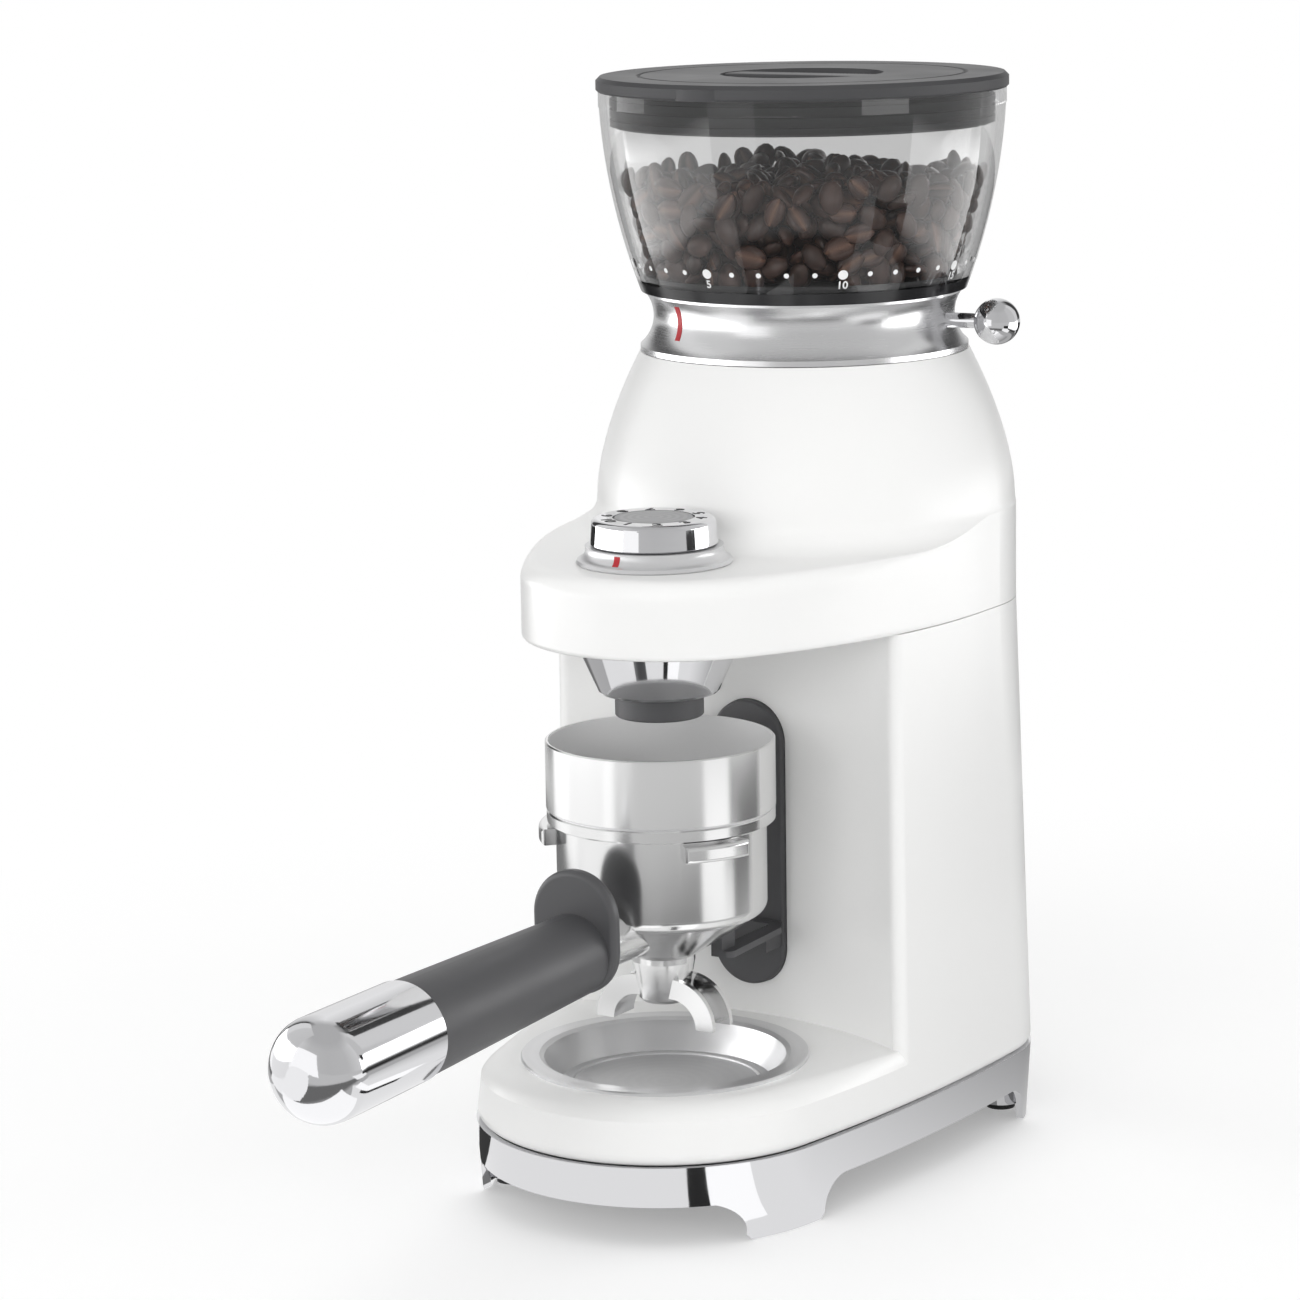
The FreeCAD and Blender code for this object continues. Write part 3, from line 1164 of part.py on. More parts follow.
def fork_blade(foot_half):
    """Flat of the fork, widening from its foot to the rounded prong ends."""
    z0 = FORK_TOP_Z - FORK_THICK
    waist = FORK_HALF_WIDTH - FORK_TAPER
    right = [V(foot_half, PLATE_FRONT_Y, z0), V(waist, PLATE_FRONT_Y - FORK_SHOULDER, z0),
             V(FORK_HALF_WIDTH, FORK_REACH_Y, z0)]
    left = [V(-p.x, p.y, p.z) for p in reversed(right)]
    blade = Part.Face(Part.makePolygon(right + left + [right[0]])).extrude(V(0, 0, FORK_THICK))
    upright = [e for e in blade.Edges if abs(e.tangentAt(e.FirstParameter).z) > 0.5]
    return blade.makeFillet(FORK_CORNER_R, [e for e in upright if e.CenterOfMass.y < PLATE_FRONT_Y - CUT])


def fork():
    """Two flat prongs with ribs under them and pads that the bowl rests on, from a foot against the plate."""
    z0, z1 = FORK_TOP_Z - FORK_THICK, FORK_TOP_Z
    low, foot_y = z0 - FORK_RIB_DEPTH, PLATE_FRONT_Y
    foot_half, slot_y = PLATE_HALF_WIDTH - FORK_FOOT_INSET, foot_y - FORK_RIB_LENGTH / 2
    bridge = block(-foot_half, foot_half, slot_y, foot_y, low, z1)
    rib = block(FORK_GAP, foot_half, foot_y - FORK_RIB_LENGTH, foot_y, low, z0)
    pad = block(FORK_GAP, FORK_GAP + FORK_PAD, FORK_REACH_Y, FORK_REACH_Y + 2 * FORK_PAD, z1, BOWL_CONE_Z)
    seat = bowl_form()
    seat.translate(V(0, 0, -SEAM))
    pad = pad.cut(seat)
    hub_room = rod(FORK_GAP, low - CUT, z1 + CUT, 0, SPOUT_Y)
    slot = block(-FORK_GAP, FORK_GAP, SPOUT_Y, slot_y, low - CUT, z1 + CUT)
    body = fused([fork_blade(foot_half), bridge, rib, mirrored(rib), pad, mirrored(pad)])
    return body.cut(fused([hub_room, slot])).cut(Part.makeCompound(fork_bores(SCREW_R)))


def fork_bores(radius):
    """Shanks of the two screws that hold the fork, from behind the plate."""
    y1 = NICHE_Y + WALL + SEAM + PLATE_FLANGE_THICK
    z = FORK_TOP_Z - (FORK_THICK + FORK_RIB_DEPTH) / 2
    length = y1 - PLATE_FRONT_Y + FORK_RIB_LENGTH / 3
    bore = Part.makeCylinder(radius, length, V(FORK_SCREW_X, y1, z), V(0, -1, 0))
    return [bore, mirrored(bore)]


def fork_screws():
    screws = []
    for shank in fork_bores(SCREW_R - RUN):
        foot = V(shank.CenterOfMass.x, shank.BoundBox.YMax, shank.CenterOfMass.z)
        screws.append(shank.fuse(Part.makeCylinder(SCREW_HEAD_R, SCREW_HEAD, foot, V(0, 1, 0))))
    return Part.makeCompound(screws)


def bowl_outline(inset):
    """Bowl from its hub to the top: a sloping bottom, a rounded turn and a straight wall."""
    mid_r = BOWL_CONE_R + (BOWL_R - BOWL_CONE_R) * 0.78
    mid_z = BOWL_CONE_Z + (BOWL_LOW_Z - BOWL_CONE_Z) * 0.42
    return [(HUB_R, BOWL_BOTTOM_Z + inset), (BOWL_CONE_R - inset, BOWL_CONE_Z + inset * 0.7),
            ((mid_r - inset, mid_z + inset * 0.4), (BOWL_R - inset, BOWL_LOW_Z))]


def bowl_form():
    """Bowl as one block, for what is cut to its outside."""
    return turned([(0, BOWL_BOTTOM_Z)] + bowl_outline(0.0) + [(BOWL_R, RIM_Z), (0, RIM_Z)], SPOUT_Y)


def locking_lug():
    """Lug on the bowl, to one side of the handle."""
    low, inner_r, outer_r = LUG_TOP_Z - LUG_HEIGHT, BOWL_R - LUG_EMBED, BOWL_R + LUG_OUT
    corners = [V(inner_r, SPOUT_Y, low), V(outer_r, SPOUT_Y, low),
               V(outer_r, SPOUT_Y, LUG_TOP_Z), V(inner_r, SPOUT_Y, LUG_TOP_Z)]
    section = Part.Face(Part.makePolygon(corners + [corners[0]]))
    lug = section.revolve(V(0, SPOUT_Y, 0), UP, LUG_ARC)
    lug.rotate(V(0, SPOUT_Y, 0), UP, -90 + LUG_AZIMUTH - LUG_ARC / 2)
    outer = []
    for edge in lug.Edges:
        middle = edge.valueAt((edge.FirstParameter + edge.LastParameter) / 2)
        if math.hypot(middle.x, middle.y - SPOUT_Y) > outer_r - LUG_EMBED:
            outer.append(edge)
    return lug.makeFillet(LUG_ROUND, outer)


def portafilter_body():
    """Bowl with a rim, a sloping bottom, a hub and two locking lugs."""
    low, inner_r = RIM_Z - RIM_HEIGHT, BOWL_R - BOWL_WALL
    floor, slope, turn = bowl_outline(BOWL_WALL)
    outside = [(HUB_BORE_R, HUB_Z), (HUB_R, HUB_Z)] + bowl_outline(0.0)
    rim = [(BOWL_R, low), (RIM_R - RIM_EDGE, low), (RIM_R, low + RIM_EDGE), (RIM_R, RIM_Z - RIM_EDGE),
           (RIM_R - RIM_EDGE, RIM_Z)]
    inside = [(inner_r, RIM_Z), turn[1], (turn[0], slope), floor, (HUB_BORE_R, floor[1])]
    lug = locking_lug()
    return fused([turned(outside + rim + inside, SPOUT_Y), lug, mirrored(lug)])


def filter_basket():
    """Thin basket hanging in the bowl by its flange."""
    outer_r = BOWL_R - BOWL_WALL - SLIP
    inner_r, flange_r = outer_r - BASKET_WALL, RIM_R - BASKET_INSET
    z0, z1, top = BASKET_FLOOR_Z, BASKET_FLOOR_Z + BASKET_WALL, RIM_Z + BASKET_FLANGE
    return turned([(0, z0), (outer_r - BASKET_BEVEL, z0), (outer_r, z0 + BASKET_BEVEL), (outer_r, RIM_Z),
                   (flange_r, RIM_Z), (flange_r, top), (inner_r, top), (inner_r, z1 + BASKET_BEVEL),
                   (inner_r - BASKET_BEVEL, z1), (0, z1)], SPOUT_Y)


def dosing_ring():
    """Funnel ring on the basket's flange, with a spigot that centres it."""
    z0, z1 = RIM_Z + BASKET_FLANGE, RING_TOP_Z
    inner_r = RING_R - RING_WALL
    spigot_r = BOWL_R - BOWL_WALL - SLIP - BASKET_WALL - SLIP
    bore_r = spigot_r - RING_SPIGOT_WALL
    return turned([(bore_r, z0 - RING_SPIGOT), (spigot_r, z0 - RING_SPIGOT), (spigot_r, z0), (RING_R, z0),
                   (RING_R, z1 - RING_EDGE), (RING_R - RING_EDGE, z1), (inner_r + RING_EDGE, z1),
                   (inner_r, z1 - RING_EDGE), (inner_r, z0 + RING_WALL), (bore_r, z0 + RING_WALL)], SPOUT_Y)


def spout_arm(inner, outer, width):
    """Bar in the XZ plane that leaves the hub level and curves down to the tip."""
    side_y, across = SPOUT_Y - width / 2, V(0, 1, 0)
    ring = Part.makeCylinder(outer, width, V(SPOUT_OFFSET, side_y, SPOUT_TIP_Z), across)
    core = Part.makeCylinder(inner, width + 2 * CUT, V(SPOUT_OFFSET, side_y - CUT, SPOUT_TIP_Z), across)
    quarter = block(SPOUT_OFFSET, SPOUT_OFFSET + 2 * outer, SPOUT_Y - width, SPOUT_Y + width,
                    SPOUT_TIP_Z, HUB_Z)
    root = block(0, SPOUT_OFFSET, side_y, side_y + width, SPOUT_TIP_Z + inner, SPOUT_TIP_Z + outer)
    return ring.cut(core).common(quarter).fuse(root)


def spout():
    """Hub end with two open channels, one to each side."""
    low_r = HUB_R - HUB_TAPER
    hub = turned([(0, HUB_LOW_Z), (low_r - HUB_BEVEL, HUB_LOW_Z), (low_r, HUB_LOW_Z + HUB_BEVEL),
                  (HUB_R, HUB_Z), (0, HUB_Z)], SPOUT_Y)
    solid_arm = spout_arm(SPOUT_INNER_R, SPOUT_R, SPOUT_WIDTH)
    channel = spout_arm(SPOUT_INNER_R + SPOUT_WALL, SPOUT_R + 2 * CUT, SPOUT_WIDTH - 2 * SPOUT_WALL)
    arm = solid_arm.cut(channel)
    floor = HUB_LOW_Z + SPOUT_WALL
    bore = rod(HUB_BORE_R, floor, HUB_Z + CUT, 0, SPOUT_Y)
    cross = Part.makeCylinder(HUB_BORE_R, 4 * HUB_R, V(-2 * HUB_R, SPOUT_Y, floor + HUB_BORE_R), V(1, 0, 0))
    return fused([hub, arm, mirrored(arm)]).cut(bore.fuse(cross))


def tipped(shape):
    shape.rotate(V(0, GUARD_Y, HANDLE_Z), V(1, 0, 0), HANDLE_DROOP)
    return shape


def along_handle(path):
    """Solid of revolution about the level handle axis; path steps are (distance from the guard, radius)."""
    points = [V(0, GUARD_Y - step[0], HANDLE_Z + step[1]) for step in path]
    return Part.Face(Part.makePolygon(points + [points[0]])).revolve(V(0, GUARD_Y, HANDLE_Z), V(0, 1, 0), 360)


def handle_neck():
    """Metal neck between the bowl and the guard, cut to the bowl's form."""
    bowl_side = GUARD_Y - SPOUT_Y + BOWL_R / 2
    neck = along_handle([(bowl_side, 0), (bowl_side, NECK_R), (-NECK_FLARE_LENGTH, NECK_R),
                         (0, NECK_R + NECK_FLARE), (0, 0)])
    return tipped(neck).cut(bowl_form()).cut(tipped(handle_bolt_form()))


def handle_bolt_form():
    start, end = GUARD_Y - SPOUT_Y + BOWL_R + HANDLE_BOLT_ROOM, HANDLE_BOLT_END
    return along_handle([(start, 0), (start, HANDLE_BOLT_R), (end, HANDLE_BOLT_R), (end, 0)])


def handle_bolt():
    return tipped(handle_bolt_form())


def finger_guard():
    """Oval stop that rises above the grip."""
    z0 = HANDLE_Z - GRIP_R
    plate = stadium(GUARD_HALF_WIDTH, z0, HANDLE_Z + GUARD_RISE, GUARD_Y - GUARD_THICK, GUARD_Y)
    rims = [e for e in plate.Edges if abs(e.CenterOfMass.y - GUARD_Y + GUARD_THICK / 2) > CUT]
    return tipped(plate.makeFillet(GUARD_EDGE_R, rims)).cut(tipped(handle_bolt_form()))


def handle_grip():
    """Tapered grip, a little thicker towards the cap."""
    start, end = GUARD_THICK, GUARD_THICK + GRIP_LENGTH
    grip = along_handle([(start, HANDLE_BOLT_R), (start, GRIP_R), (end, GRIP_END_R), (end, HANDLE_BOLT_R)])
    return tipped(grip)


def handle_cap():
    """Polished end cap with a rounded end."""
    start = GUARD_THICK + GRIP_LENGTH
    end = start + CAP_LENGTH
    cap = along_handle([(start, 0), (start, GRIP_END_R), (start + CAP_EDGE, GRIP_END_R + CAP_EDGE),
                        (end, CAP_R), (end, 0)])
    rim = [e for e in cap.Edges if abs(e.CenterOfMass.y - GUARD_Y + end) < 1e-6 and e.Length > CAP_R]
    return tipped(cap.makeFillet(CAP_ROUND, rim)).cut(tipped(handle_bolt_form()))


def drip_tray():
    """Pressed dish with a flange on the deck and a bead in its floor."""
    z0, z1, floor = DECK_Z, DECK_Z + TRAY_SHEET, DECK_Z - TRAY_DEPTH
    under = floor - TRAY_SHEET
    return turned([(0, under), (TRAY_FLOOR_R, under), (TRAY_BOWL_R - TRAY_EDGE, z0 - TRAY_LIP),
                   (TRAY_BOWL_R + TRAY_EDGE, z0), (TRAY_R, z0), (TRAY_R, z1 - TRAY_EDGE),
                   (TRAY_R - TRAY_EDGE, z1), (TRAY_BOWL_R, z1),
                   (TRAY_BOWL_R - TRAY_SHEET - TRAY_EDGE, z1 - TRAY_LIP),
                   (TRAY_FLOOR_R - TRAY_SHEET, floor), (TRAY_BEAD_R + TRAY_BEAD, floor),
                   ((TRAY_BEAD_R, floor + TRAY_BEAD), (TRAY_BEAD_R - TRAY_BEAD, floor)), (0, floor)], SPOUT_Y)


def main():
    os.makedirs("parts", exist_ok=True)
    housing = (upper_housing, lower_housing, head_floor, base_frame, bottom_cover, foot_pads, cover_screws,
               cord_gland, control_board, knob_bezel, encoder, outlet_cone, outlet_nozzle, chute, fork_plate,
               fork, fork_screws, drive_plate, drive_screws, gearbox_cover, motor_can, chamber_pillars,
               grind_chamber, hopper_seat)
    drive = (adjust_collar, cam_ring, lever_rod, lever_ball, burr_carrier, carrier_pins, outer_burr,
             burr_shaft, inner_burr, burr_nut, impeller, drive_gear, motor_shaft, rotor_core, motor_fan, pinion)
    lifted = (hopper, hopper_base, hopper_lid, lid_seal, dose_knob, knob_shaft, start_button,
              portafilter_body, filter_basket, spout, handle_neck, finger_guard, handle_grip, handle_cap,
              handle_bolt, dosing_ring, drip_tray)
    for piece in housing + drive + lifted:
        save(piece(), piece.__name__)
    save(bearing(PLATE_Z), "lower_bearing")
    save(bearing(CHAMBER_FLOOR_Z - BEARING_HEIGHT), "upper_bearing")


main()
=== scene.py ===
import json
import math
import random

import bpy
from mathutils import Matrix, Vector


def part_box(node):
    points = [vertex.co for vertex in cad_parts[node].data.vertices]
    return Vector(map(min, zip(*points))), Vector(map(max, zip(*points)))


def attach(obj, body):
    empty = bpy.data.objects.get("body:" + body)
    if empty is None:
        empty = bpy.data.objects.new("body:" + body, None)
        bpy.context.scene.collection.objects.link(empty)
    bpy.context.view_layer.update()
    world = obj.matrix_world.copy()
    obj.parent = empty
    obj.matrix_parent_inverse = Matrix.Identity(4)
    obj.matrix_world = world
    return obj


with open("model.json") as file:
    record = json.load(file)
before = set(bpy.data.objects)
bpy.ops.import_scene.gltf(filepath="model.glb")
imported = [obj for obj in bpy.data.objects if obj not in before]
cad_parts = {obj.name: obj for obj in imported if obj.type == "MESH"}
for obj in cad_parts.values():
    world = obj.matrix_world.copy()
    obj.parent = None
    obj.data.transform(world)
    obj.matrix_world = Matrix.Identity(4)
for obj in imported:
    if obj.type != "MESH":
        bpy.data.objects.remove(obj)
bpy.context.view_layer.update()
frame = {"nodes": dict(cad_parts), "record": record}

MM = 0.001
UP = Vector((0.0, 0.0, 1.0))
NODES = frame["nodes"]
SLOT_OF = {part["node"]: part["material_slot"] for part in frame["record"]["subparts"]}

# Camera, fitted to the photograph: its place in metres, and in degrees its heading, turned to the left from
# straight ahead, its pitch downwards and its roll.
CAMERA_PLACE = Vector((0.8669, -1.5021, 0.5407))
CAMERA_HEADING = 32.14
CAMERA_PITCH = 11.12
CAMERA_ROLL = -0.96
FOCAL_PIXELS = 4270.0
IMAGE_PIXELS = 1300.0
SENSOR = 36.0              # millimetres
VIEW_ENDS = 100.0          # metres

# Brightness of the tent's walls by degrees from the camera's side, left counted down and right counted up.
TENT_WALLS = [
    (-180, 1.0), (-158, 0.7), (-152, 0.06), (-124, 0.06), (-119, 1.0), (-95, 0.9), (-50, 0.64), (0, 0.6),
    (50, 0.62), (100, 0.85), (121, 1.0), (126, 0.06), (152, 0.06), (158, 0.7), (180, 1.0),
]
TENT_ROOF = 0.55
ROOF_BEGINS = 0.7          # upward part of the direction in which the walls begin to turn into the roof
ROOF_FULL = 0.9

# Light panels and a dark flag that polished and clear faces mirror. Angle, counted as in the tent, and half
# width are in degrees; distance from the hopper's axis, foot and top are in metres. Stops grade a panel from
# its edge of lower angle across, and from its foot upwards.
PANELS = [
    dict(name="left_panel", angle=-87.0, half_width=34.0, distance=0.55, foot=0.0, top=1.1, level=4.4,
         across=[(0.0, 1.0), (0.44, 1.0), (0.48, 0.85), (1.0, 0.8)],
         upwards=[(0.0, 0.28), (0.1, 0.28), (0.125, 1.0), (0.26, 1.0), (0.29, 0.2)]),
    dict(name="right_panel", angle=87.0, half_width=28.0, distance=0.55, foot=0.0, top=1.1, level=4.0,
         across=[(0.0, 0.85), (0.55, 0.85), (0.59, 1.0), (1.0, 1.0)],
         upwards=[(0.0, 0.0), (0.05, 0.03), (0.12, 1.0), (0.26, 1.0), (0.29, 0.2)]),
    dict(name="handle_panel", angle=-51.0, half_width=23.0, distance=1.06, foot=0.0, top=0.6, level=1.3),
    dict(name="dial_flag", angle=48.5, half_width=10.0, distance=0.35, foot=0.19, top=0.26, level=0.03),
]

# The floor, in metres. Where the camera looks, it is as it is lit near the axis and plain white far from it.
FLOOR_R = 14.0
FLOOR_SIDES = 96
FLOOR_NEAR = 0.22
FLOOR_FAR = 0.6
FLOOR_LIFT = 0.3           # brightness added where the camera looks, so that the bare floor is white
# The floor as polished faces mirror it, by metres from the axis; the hopper's front mirrors the dark ring.
FLOOR_MIRRORED = [(0.0, 0.52), (0.42, 0.52), (0.47, 0.18), (0.63, 0.18), (0.68, 0.66)]

# Cards that lie on the floor and are only mirrored, in metres. The pale one is graded from the front to the
# rear, and the shadow card is the dark under the foot.
PALE_CARD_HALF = 0.26
PALE_CARD_Y = -0.08
PALE_CARD_Z = 0.0004
PALE_CARD_STOPS = [(0.0, 1.0), (0.44, 0.98), (0.9, 0.38), (1.0, 0.38)]
SHADOW_CARD_Z = 0.0008
SHADOW_CARD_SIDES = 48
SHADOW_CARD_SHARE = 0.85   # its half width, as a share of the half width of the cover under the foot
SHADOW_CARD_LEVEL = 0.22
SECTOR_CARD_Z = 0.001
# Sectors round the spout's axis: degrees from the front, +X counted up, then near and far edge in metres.
SECTOR_CARDS = [
    dict(name="black_card", first=40.5, last=49.0, near=0.09, far=0.21, level=0.03),
    dict(name="white_card", first=49.0, last=70.0, near=0.09, far=0.3, level=1.35),
    dict(name="left_card", first=-62.0, last=-14.0, near=0.36, far=1.6, level=1.15),
    dict(name="right_card", first=74.0, last=114.0, near=0.45, far=0.95, level=1.2),
    dict(name="cap_card", first=-30.0, last=30.0, near=0.2, far=0.38, level=1.3),
    dict(name="left_black_card", first=-93.0, last=-71.0, near=0.09, far=0.18, level=0.05),
    dict(name="far_left_card", first=-128.0, last=-88.0, near=0.9, far=3.0, level=0.04),
    dict(name="far_right_card", first=150.0, last=192.0, near=0.9, far=3.0, level=0.04),
]

# Soft lamps, in metres and watts, turned towards the object's middle, a little to the front unless a row says
# otherwise.
LAMP_TARGET = (0.0, -0.05, 0.2)
LAMPS = [
    dict(name="front_fill", place=(0.5, -2.4, 0.8), size=(1.6, 1.0), power=16.4),
    dict(name="side_fill", place=(2.3, -0.5, 0.4), size=(1.2, 0.8), power=9.1),
    dict(name="left_fill", place=(-2.2, -0.2, 0.7), size=(1.2, 1.0), power=6.0),
    dict(name="rear_fill", place=(-0.4, 2.4, 0.8), size=(1.6, 1.0), power=9.0, target=(0.0, 0.0, 0.2)),
    dict(name="overhead", place=(0.1, -0.3, 1.9), size=(1.4, 1.4), power=5.0),
]

# Axes and walls of the part, in millimetres.
SPOUT_Y = -116.0           # axis of the funnel ring, the portafilter and the drip tray
KNOB_Y = -118.0            # axis of the dial, its button and its bezel
FUNNEL_WALL_R = 43.9       # the funnel ring is satin inside this radius
FUNNEL_BLEND = 0.4         # and polished from this much further out
HOPPER_WALL = 3.0
RAY_START = 300.0          # from an axis outwards, clear of the walls that carry marks

# Printed numbers and dots, in millimetres and degrees. Their sizes and places are measured on the photograph.
INK = 0.08                 # thickness of a printed mark
FIGURE_SHARE = 0.7         # height of a figure as a share of its lettering's size
FIGURE_BOLDER = 0.03       # by how much of its height a figure's strokes are widened
FIGURE_CURVE_STEPS = 4
DOT_Z = 361.6
BIG_DOT_R = 2.0
SMALL_DOT_R = 1.05
DOT_SIDES = 24
DOT_INSETS = (0.4, 0.3)    # rings inside a dot, as shares of its radius
DOT_STEP = 9.06            # from one dot to the next
ZERO_DOT = -48.0           # from the front, +X counted up
LAST_NUMBER = 30
NUMBER_EVERY = 5           # dots from one number to the next
NUMBER_Z = 357.3
NUMBER_HEIGHT = 3.2
KNOB_NUMBERS = 10
KNOB_NUMBER_R = 19.1
KNOB_NUMBER_HEIGHT = 4.3
KNOB_NUMBER_WIDER = 1.35

# Red marks that a scale is read against, in millimetres and degrees: height and angle of their middle, the
# axis of the wall that they are on, their size, the cuts that let them follow it, and the enamel's thickness.
RED_MARKS = [
    dict(name="collar_index_mark", node="adjust_collar", body="adjuster", slot="chrome", z=339.8, angle=-24.0,
         axis_y=0.0, width=3.0, height=16.0, cuts=15, film=0.15),
    dict(name="bezel_index_mark", node="knob_bezel", body="grinder", slot="satin_steel", z=258.6, angle=0.0,
         axis_y=KNOB_Y, width=2.6, height=4.6, cuts=9, film=0.12),
]

# Coffee beans and their heap, in millimetres, and how they lie, in radians.
BEAN_LENGTH = 13.2
BEAN_WIDTH = 9.4
BEAN_THICKNESS = 6.6       # before its belly is flattened
BEAN_SEGMENTS = 12
BEAN_RINGS = 7
BELLY_SHARE = 0.62         # how far the belly stands out, as a share of the back
CREASE_HALF_WIDTH = 0.47
CREASE_HALF_LENGTH = 6.2
CREASE_DEPTH = 1.32
BEAN_SMOOTH_ANGLE = 60.0   # degrees
BEAN_SIZES = (0.86, 1.08)  # smallest and largest bean, as shares of the sizes above
BEAN_SPACING = 7.7         # between the middles of two beans, at the least
BEAN_CLEAR = 4.2           # from the hopper's wall to a bean's middle, at the least
BEAN_FLOOR_Z = 358.5
BEAN_TOP_Z = 395.0
BEAN_TRIES = 90000
BEAN_SEED = 11
HEAP_REACH = 6.0           # beans are tried up to this far above the mean top of the heap
HEAP_WAVE = 3.0            # how far the top of the heap rises and falls
HEAP_LENGTHS = (17.0, 21.0)   # along X and along Y, for each radian of the wave
HEAP_PHASE = 1.0
ROOM_STEP = 2              # the hopper's inside is measured at heights this far apart
ROOM_ANGLE = 10.0          # degrees from the front
AT_WALL = 3.0              # a bean nearer to its outermost place than this lies flat against the wall
WALL_LEAN = 0.35           # how far beans at the wall usually lean
FREE_LEAN = 1.1            # and beans further in
SIDE_LEAN = 0.5            # share of that lean about the other axis

# Patterns of the finishes, and the hopper's smoke.
PATTERN_RANGE = {"From Min": 0.25, "From Max": 0.75}   # most values of a noise texture lie in it
WAVE_PERIOD = math.tau / 20.0                          # metres between the rings of a wave texture of scale 1
SMOKE_PER_METRE = 30.0                                 # absorption of the hopper's wall


def linear(code):
    """Turns an sRGB hex colour into the linear values that a shader wants."""
    parts = [int(code[i:i + 2], 16) / 255.0 for i in (1, 3, 5)]
    return [p / 12.92 if p <= 0.04045 else ((p + 0.055) / 1.055) ** 2.4 for p in parts] + [1.0]


def grey(level):
    """A brightness of the studio, as the colour that a shader wants."""
    return [level] * 3 + [1.0]


def per(size):
    """Texture scale whose features are about this many millimetres apart."""
    return 1.0 / (size * MM)


def add(tree, kind, inputs=None, stops=(), **settings):
    """Adds a node. Inputs are values, or outputs of other nodes to link from; stops are a ramp's places and
    brightnesses."""
    node = tree.nodes.new(kind)
    for number, (place, level) in enumerate(stops):
        ramp = node.color_ramp.elements
        stop = ramp[number] if number < len(ramp) else ramp.new(place)
        stop.position = place
        stop.color = grey(level)
    for name, value in settings.items():
        setattr(node, name, value)
    for name, value in (inputs or {}).items():
        if isinstance(value, bpy.types.NodeSocket):
            tree.links.new(value, node.inputs[name])
        else:
            node.inputs[name].default_value = value
    return node


def begin(name, **sockets):
    """Starts a material and gives it with its nodes, its shader and its Object coordinates; sockets are the
    shader's own values that are the same all over."""
    material = bpy.data.materials.new(name)
    material.use_nodes = True
    tree = material.node_tree
    shader = tree.nodes["Principled BSDF"]
    for socket, value in sockets.items():
        shader.inputs[socket.replace("_", " ")].default_value = value
    where = add(tree, "ShaderNodeTexCoord").outputs["Object"]
    return material, tree, shader, where


def surface(tree, shader, colour=None, rough=None, relief=None, strength=1.0):
    """Ties patterns to a shader: colour is a pattern and two hex colours, rough a pattern and two
    roughnesses, and relief a pattern and its depth in millimetres, of which strength is the share shown."""
    if colour:
        pattern, first, second = colour
        tint = add(tree, "ShaderNodeMix", {"Factor": pattern, "A": linear(first), "B": linear(second)},
                   data_type="RGBA")
        tree.links.new(tint.outputs["Result"], shader.inputs["Base Color"])
    if rough:
        pattern, low, high = rough
        spread = add(tree, "ShaderNodeMapRange", {"Value": pattern, **PATTERN_RANGE, "To Min": low,
                                                  "To Max": high})
        tree.links.new(spread.outputs["Result"], shader.inputs["Roughness"])
    if relief:
        pattern, depth = relief
        bump = add(tree, "ShaderNodeBump", {"Height": pattern, "Distance": depth * MM, "Strength": strength})
        tree.links.new(bump.outputs["Normal"], shader.inputs["Normal"])


def turned_lines(tree, where, pitch, length):
    """Level lines that turning leaves round an upright wall: their pitch and length are in millimetres."""
    scale = (per(length), per(length), per(pitch))
    drawn_out = add(tree, "ShaderNodeMapping", {"Vector": where, "Scale": scale}).outputs["Vector"]
    lines = add(tree, "ShaderNodeTexNoise", {"Vector": drawn_out, "Scale": 1.0, "Detail": 2.0})
    return lines.outputs["Fac"]


def turned_rings(tree, where, axis_y, pitch, wander):
    """Rings that turning or brushing leaves round an upright axis: their pitch is in millimetres."""
    centre = (0.0, -axis_y * MM, 0.0)
    centred = add(tree, "ShaderNodeMapping", {"Vector": where, "Location": centre}).outputs["Vector"]
    rings = add(tree, "ShaderNodeTexWave",
                {"Vector": centred, "Scale": per(pitch) * WAVE_PERIOD, "Distortion": wander, "Detail": 2.0,
                 "Detail Scale": 3.0}, wave_type="RINGS", rings_direction="Z")
    return rings.outputs["Fac"]


def white_lacquer():
    """ABS moulding, lacquered white: a clear gloss coat over a faint orange peel."""
    material, tree, shader, where = begin("white_lacquer", Base_Color=linear("#f4f4f3"), IOR=1.42,
                                          Coat_Weight=0.1, Coat_Roughness=0.08)
    peel = add(tree, "ShaderNodeTexNoise", {"Vector": where, "Scale": per(2.5), "Detail": 1.0}).outputs["Fac"]
    surface(tree, shader, rough=(peel, 0.3, 0.34), relief=(peel, 0.003))
    return material


def chrome_plate():
    """Bright chrome plating on a polished part: mirror gloss with the faintest handling haze."""
    material, tree, shader, where = begin("chrome_plate", Base_Color=linear("#dcdcde"), Metallic=1.0)
    haze = add(tree, "ShaderNodeTexNoise", {"Vector": where, "Scale": per(18), "Detail": 3.0}).outputs["Fac"]
    ripple = add(tree, "ShaderNodeTexNoise", {"Vector": where, "Scale": per(9), "Detail": 0.0}).outputs["Fac"]
    surface(tree, shader, rough=(haze, 0.04, 0.09), relief=(ripple, 0.004))
    return material


